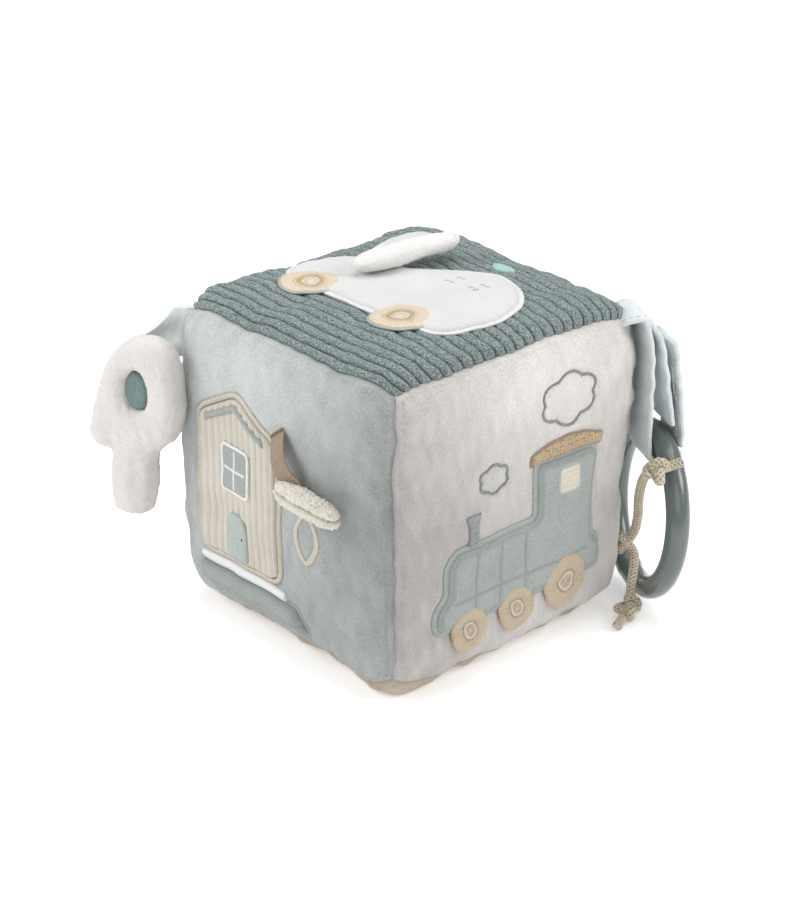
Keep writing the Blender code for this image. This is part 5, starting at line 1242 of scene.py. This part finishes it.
# Ribbon, straps and ring
webbing = dict(square=(0.35, 0.55), ridge=0.1, wobble=0.0, waver=((11 * mm, 81), (7 * mm, 82)),
               taper=(1.0, 1 * mm), taperRound=0.7, stitches=(),
               stitch=dict(every=2.4 * mm, on=-0.4, wide=0.035, deep=2.0, dark=0.8))


def band(name, line, plane, style):
    # a flat band whose edge view is a line in a plane (origin, two ways in it, way across): a rounded
    # rectangle, |cos|^0.35 by |sin|^0.55, carried along it, ribbed or sewn, and narrowed near its start;
    # painted shade darkens its rib valleys and stitch dips
    style = dict(webbing, **style)
    line = evenLine(np.array(line, float), style["step"])
    origin, first, second, across = plane
    path = origin + line[:, :1] * first + line[:, 1:] * second
    along = unit(np.gradient(path, axis=0))
    side = np.broadcast_to(across, path.shape)
    t = np.linspace(0, 2 * np.pi, style["around"], endpoint=False)
    x, y = (np.sign(w) * np.abs(w) ** power for w, power in zip((np.cos(t), np.sin(t)), style["square"]))
    run = (np.arange(len(line)) * np.linalg.norm(np.diff(line[:2], axis=0)))[:, None]
    half, thick = style["wide"] / 2, style["thick"] / 2
    ridge = np.zeros((len(line), len(t)))
    grooveShade = ridge.copy()
    if "rib" in style:
        ridge += np.abs(np.sin(np.pi * run / style["rib"]))
        grooveShade = np.clip(0.5 - ridge, 0, 1)
    sewn = style["stitch"]
    for place in style["stitches"]:
        dash = np.sin(2 * np.pi * run / sewn["every"]) > sewn["on"]
        dip = np.exp(-((x - place) / sewn["wide"]) ** 2) * dash * (y > 0)
        ridge, grooveShade = ridge - sewn["deep"] * dip, np.maximum(grooveShade, dip * sewn["dark"])
    swell = 1 + style["ridge"] * (ridge - 0.5 * ("rib" in style))
    places = np.stack(np.broadcast_arrays(run, x[None] * half), -1)
    runWaves, faceWaves = style["waver"]
    wobble = style["wobble"] * (waves(run, *runWaves)[:, None] + waves(places, *faceWaves))
    narrow, reach = style["taper"]
    width = narrow + (1 - narrow) * np.clip(run / reach, 0, 1) ** style["taperRound"]
    profile = np.stack([x * half * width - (1 - width) * half, y * thick * swell + wobble], -1)
    return sweep(name, path, side, np.cross(side, along), profile, grooveShade=grooveShade)


ribbon = dict(at=(5.5 * mm, 26 * mm), lean=52.0, span=15 * mm, bow=5.2 * mm, bowTurn=0.62, start=-0.16,
              end=1.26, dip=1.5 * mm, off=0.3 * mm, wide=9 * mm, thick=0.9 * mm, rib=0.85 * mm, ridge=0.5,
              step=0.1 * mm, around=28, places=80)


def makeRibbon():
    # bows out from its seam as a sine of its run, and dips a little past the tab
    lean = math.radians(ribbon["lean"])
    fall, out = np.array([math.cos(lean), 0, -math.sin(lean)]), np.array([0, -1.0, 0])
    p, half = block["power"], block["half"]
    a, b = ribbon["at"]
    height = half[1] * (1 - abs(a / half[0]) ** p - abs(b / half[2]) ** p) ** (1 / p)
    origin = np.array([a, -height - ribbon["off"] - ribbon["thick"] / 2, block["middle"] + b])
    share = np.linspace(ribbon["start"], ribbon["end"], ribbon["places"])
    bow = ribbon["bow"] * np.sin(np.minimum(share, 1) * np.pi * ribbon["bowTurn"])
    dip = ribbon["dip"] * np.clip(share - 1, 0, 1) / (ribbon["end"] - 1)
    line = np.stack([share * ribbon["span"], bow - dip], 1)
    made = band("pullRibbon", line, (origin, fall, out, np.cross(fall, out)), ribbon)
    finish(made, "ribbon", "brown_grosgrain", ["pull_ribbon"])
    across = np.array([math.sin(lean), math.cos(lean)]) * ribbon["wide"] / 2
    seam = evenLine(np.array([ribbon["at"] - across, ribbon["at"] + across]), step=0.3 * mm)
    bar = dict(satin, width=1.3 * mm, high=0.6 * mm, base=0.6 * mm)
    sewOn(stitchLine("ribbonSeam", "front", seam, bar, closed=False), "brown_grosgrain", look="brown_thread")
    print("the ribbon hangs from its seam")


makeRibbon()

corner = dict(z=113.723 * mm, out=77.649 * mm, inner=1.5 * mm, turn=19.0, aside=26.5 * mm, half=6.2 * mm,
              drop=55.4 * mm, pivot=74.7 * mm, bend=3 * mm)
turn = math.radians(corner["turn"])
loopOut = rightOut * math.cos(turn) - towards * math.sin(turn)
loopWide = towards * math.cos(turn) + rightOut * math.sin(turn)
innerOut = corner["out"] + corner["inner"]
loopFloor = corner["z"] - corner["drop"]
strap = dict(wide=20 * mm, thick=2.3 * mm, step=0.4 * mm, around=60, stitches=(-0.80, 0.80), wobble=0.16 * mm,
             taper=(0.45, 13 * mm), armWide=19.4 * mm, bowl=0.95, bowlTurn=2.8, bowlSteps=14,
             root=((-2.6, 0.10), (-1.7, 0.03), (-0.72, -0.022)),
             short=((-0.32, 0.004), (0.13, 0.061), (0.48, 0.141), (0.73, 0.264), (1.14, 0.556),
                    (1.42, 0.736)),
             long=((-0.42, 0.022), (-0.27, 0.069), (-0.16, 0.132), (-0.05, 0.231), (0.0, 0.34), (0.0, 0.55),
                   (0.0, 0.72), (0.0, 0.86)),
             flap=((1.95, 0.755), (1.83, 0.56), (1.49, 0.275), (1.36, 0.177)))
tape = dict(wide=14 * mm, thick=0.7 * mm, step=0.4 * mm, around=28)


def outAndUp(shares):
    # places in the loop's plane, in shares of the loop's half width and of its drop
    return [(innerOut + a * corner["half"], corner["z"] - b * corner["drop"]) for a, b in shares]


def makeStrap():
    # two arms from one root: the long one goes on round the ring, and the flap folds back over the short one
    plane = (loopWide * corner["aside"], loopOut, zAxis, np.cross(loopOut, zAxis))
    bowl = strap["bowl"] * corner["half"]
    hinge = (innerOut + 2 * corner["half"], loopFloor + bowl)
    root = outAndUp(strap["root"])
    under = [(innerOut + corner["half"] * (1 - math.cos(t)), hinge[1] - bowl * math.sin(t))
             for t in np.linspace(0, strap["bowlTurn"], strap["bowlSteps"])]
    longLine = smoothLine(root + outAndUp(strap["long"]) + under[1:], strap["step"])
    shortLine = smoothLine(root + outAndUp(strap["short"]), strap["step"])
    flapLine = smoothLine([hinge] + outAndUp(strap["flap"]), strap["step"])
    pivot = loopOut * corner["pivot"] + loopWide * corner["aside"] + zAxis * corner["z"]
    bend = (pivot - loopOut * corner["bend"], pivot + loopOut * corner["bend"])
    made = band("ringStrap", longLine, plane, strap)
    # the straps get a lighter copy of the blue-grey velour: painted light
    finish(made, "ring_strap", "blue_grey_velour", ["ring_strap"], "strap_lit_velour", bend)
    made = band("ringStrapArm", shortLine, plane, dict(strap, wide=strap["armWide"]))
    finish(made, "ring_strap", "blue_grey_velour", (), "strap_lit_velour", bend)
    made = band("ringStrapFastener", flapLine, plane, dict(strap, taper=webbing["taper"]))
    finish(made, "fastener", "blue_grey_velour", ["ring_strap_fastener"], "strap_lit_velour")
    for name, line, start, end, body, node in (("hookPad", shortLine, 0.62, 0.90, "ring_strap", "hook_pad"),
                                               ("loopPad", flapLine, 0.50, 0.78, "fastener", "loop_pad")):
        along = unit(np.gradient(line, axis=0))
        away = np.stack([-along[:, 1], along[:, 0]], 1) * (strap["thick"] / 2 + tape["thick"] / 2)
        piece = (line + away)[int(len(line) * start):int(len(line) * end)]
        finish(band(name, piece, plane, tape), body, "white_hook_tape", [node])
    print("the ring's strap is looped and fastened")


makeStrap()

ring = dict(radius=29.3 * mm, tube=4.3 * mm, lean=5.0, slack=0.7 * mm, cloth=1.2 * mm, chord=10 * mm,
            clasp=248.0, bulge=0.09, bulgeReach=5 * mm, bulgeSoft=0.5 * mm,
            seams=((0.035, 0, 0.35 * mm), (0.02, 5.2 * mm, 0.4 * mm)), around=40, step=0.45 * mm)


def makeRing():
    # a torus whose tube swells a little at its clasp and dips at the two joints there
    lean = math.radians(ring["lean"])
    upward = zAxis * math.cos(lean) + loopOut * math.sin(lean)
    sag = ring["radius"] - math.sqrt(ring["radius"] ** 2 - ring["chord"] ** 2)
    rest = ring["cloth"] + ring["slack"] + ring["tube"]
    centre = loopOut * (innerOut + rest - ring["radius"] * math.sin(lean)) + loopWide * corner["aside"]
    centre = centre + zAxis * (loopFloor + rest + sag - ring["radius"] * math.cos(lean))
    count = int(2 * np.pi * ring["radius"] / ring["step"])
    t = np.linspace(0, 2 * np.pi, count, endpoint=False) + math.radians(ring["clasp"])
    outward = loopWide * np.cos(t)[:, None] + upward * np.sin(t)[:, None]
    away = np.minimum(np.arange(count), count - np.arange(count)) * ring["step"]
    swell = 1 + ring["bulge"] / (1 + np.exp((away - ring["bulgeReach"]) / ring["bulgeSoft"]))
    swell -= sum(deep * np.exp(-((away - at) / wide) ** 2) for deep, at, wide in ring["seams"])
    angle = np.linspace(0, 2 * np.pi, ring["around"], endpoint=False)
    profile = ring["tube"] * swell[:, None, None] * np.stack([np.cos(angle), np.sin(angle)], -1)[None]
    axis = np.broadcast_to(np.cross(loopWide, upward), outward.shape)
    made = sweep("teetherRing", centre + outward * ring["radius"], outward, axis, profile, closed=True)
    finish(made, "ring", "grey_plastic", ["teether_ring"])
    print("the ring hangs in its loop")


makeRing()

keyStrap = dict(axis=82.79 * mm, length=14.5 * mm, wide=14.3 * mm, top=108.623 * mm, thick=2.0 * mm,
                inside=-0.75, inKey=1.05, cells=(90, 60), upper=0.525, lip=0.29, lipReach=0.85, lipRound=1.5,
                lower=0.54, belly=0.9 * mm, pleat=1.1 * mm, pleats=(1.15, 0.25), pleatAt=0.25, pleatReach=0.55,
                creases=dict(deep=0.22 * mm, over=14 * mm, length=5 * mm, seed=91), bend=2.5 * mm,
                flat=(27.5 * mm, 16.5 * mm))


def makeKeyStrap():
    # a ruled surface between the strap's upper and lower edges, from inside the seam (s below 0) to inside
    # the key (s above 1), bellied at its middle and pleated: cos(2 pi (1.15 t + 0.25 s)) under a bell in s
    style = keyStrap
    s, t = np.meshgrid(np.linspace(style["inside"], style["inKey"], style["cells"][0]),
                       np.linspace(0, 1, style["cells"][1]), indexing="ij")
    inSpan = np.clip(s, 0, 1)
    upper = style["lip"] * np.clip(1 - inSpan / style["lipReach"], 0, 1) ** style["lipRound"]
    upper = upper - style["upper"] * np.maximum(s, 0)
    lower = -(1 + style["lower"] * np.maximum(s, 0))
    z = style["top"] + (upper * (1 - t) + lower * t) * style["wide"]
    z = z + style["belly"] * np.sin(np.pi * inSpan) * (2 * t - 1)
    turns = style["pleats"][0] * t + style["pleats"][1] * s
    bell = np.exp(-((s - style["pleatAt"]) / style["pleatReach"]) ** 2)
    crease = style["creases"]
    creased = waves(np.stack([s, t], -1) * crease["over"], crease["length"], crease["seed"])
    fold = style["pleat"] * np.cos(2 * np.pi * turns) * bell + crease["deep"] * creased
    out = style["axis"] + s * style["length"]
    points = leftOut * out[..., None] + zAxis * z[..., None] + towards * fold[..., None]
    made = makeMesh("keyStrap", points.reshape(-1, 3), [gridFaces(*s.shape)])
    wall = made.modifiers.new("cloth", "SOLIDIFY")
    wall.thickness, wall.offset = style["thick"], 0
    bend = tuple(leftOut * (style["axis"] + way * style["bend"]) for way in (-1, 1))
    # painted light: the key's strap gets a still lighter copy of the velour
    finish(made, "key_strap", "blue_grey_velour", ["key_strap"], "key_strap_lit_velour", bend)
    print("the key's strap comes out of the corner")


makeKeyStrap()

print("pieces are finished")
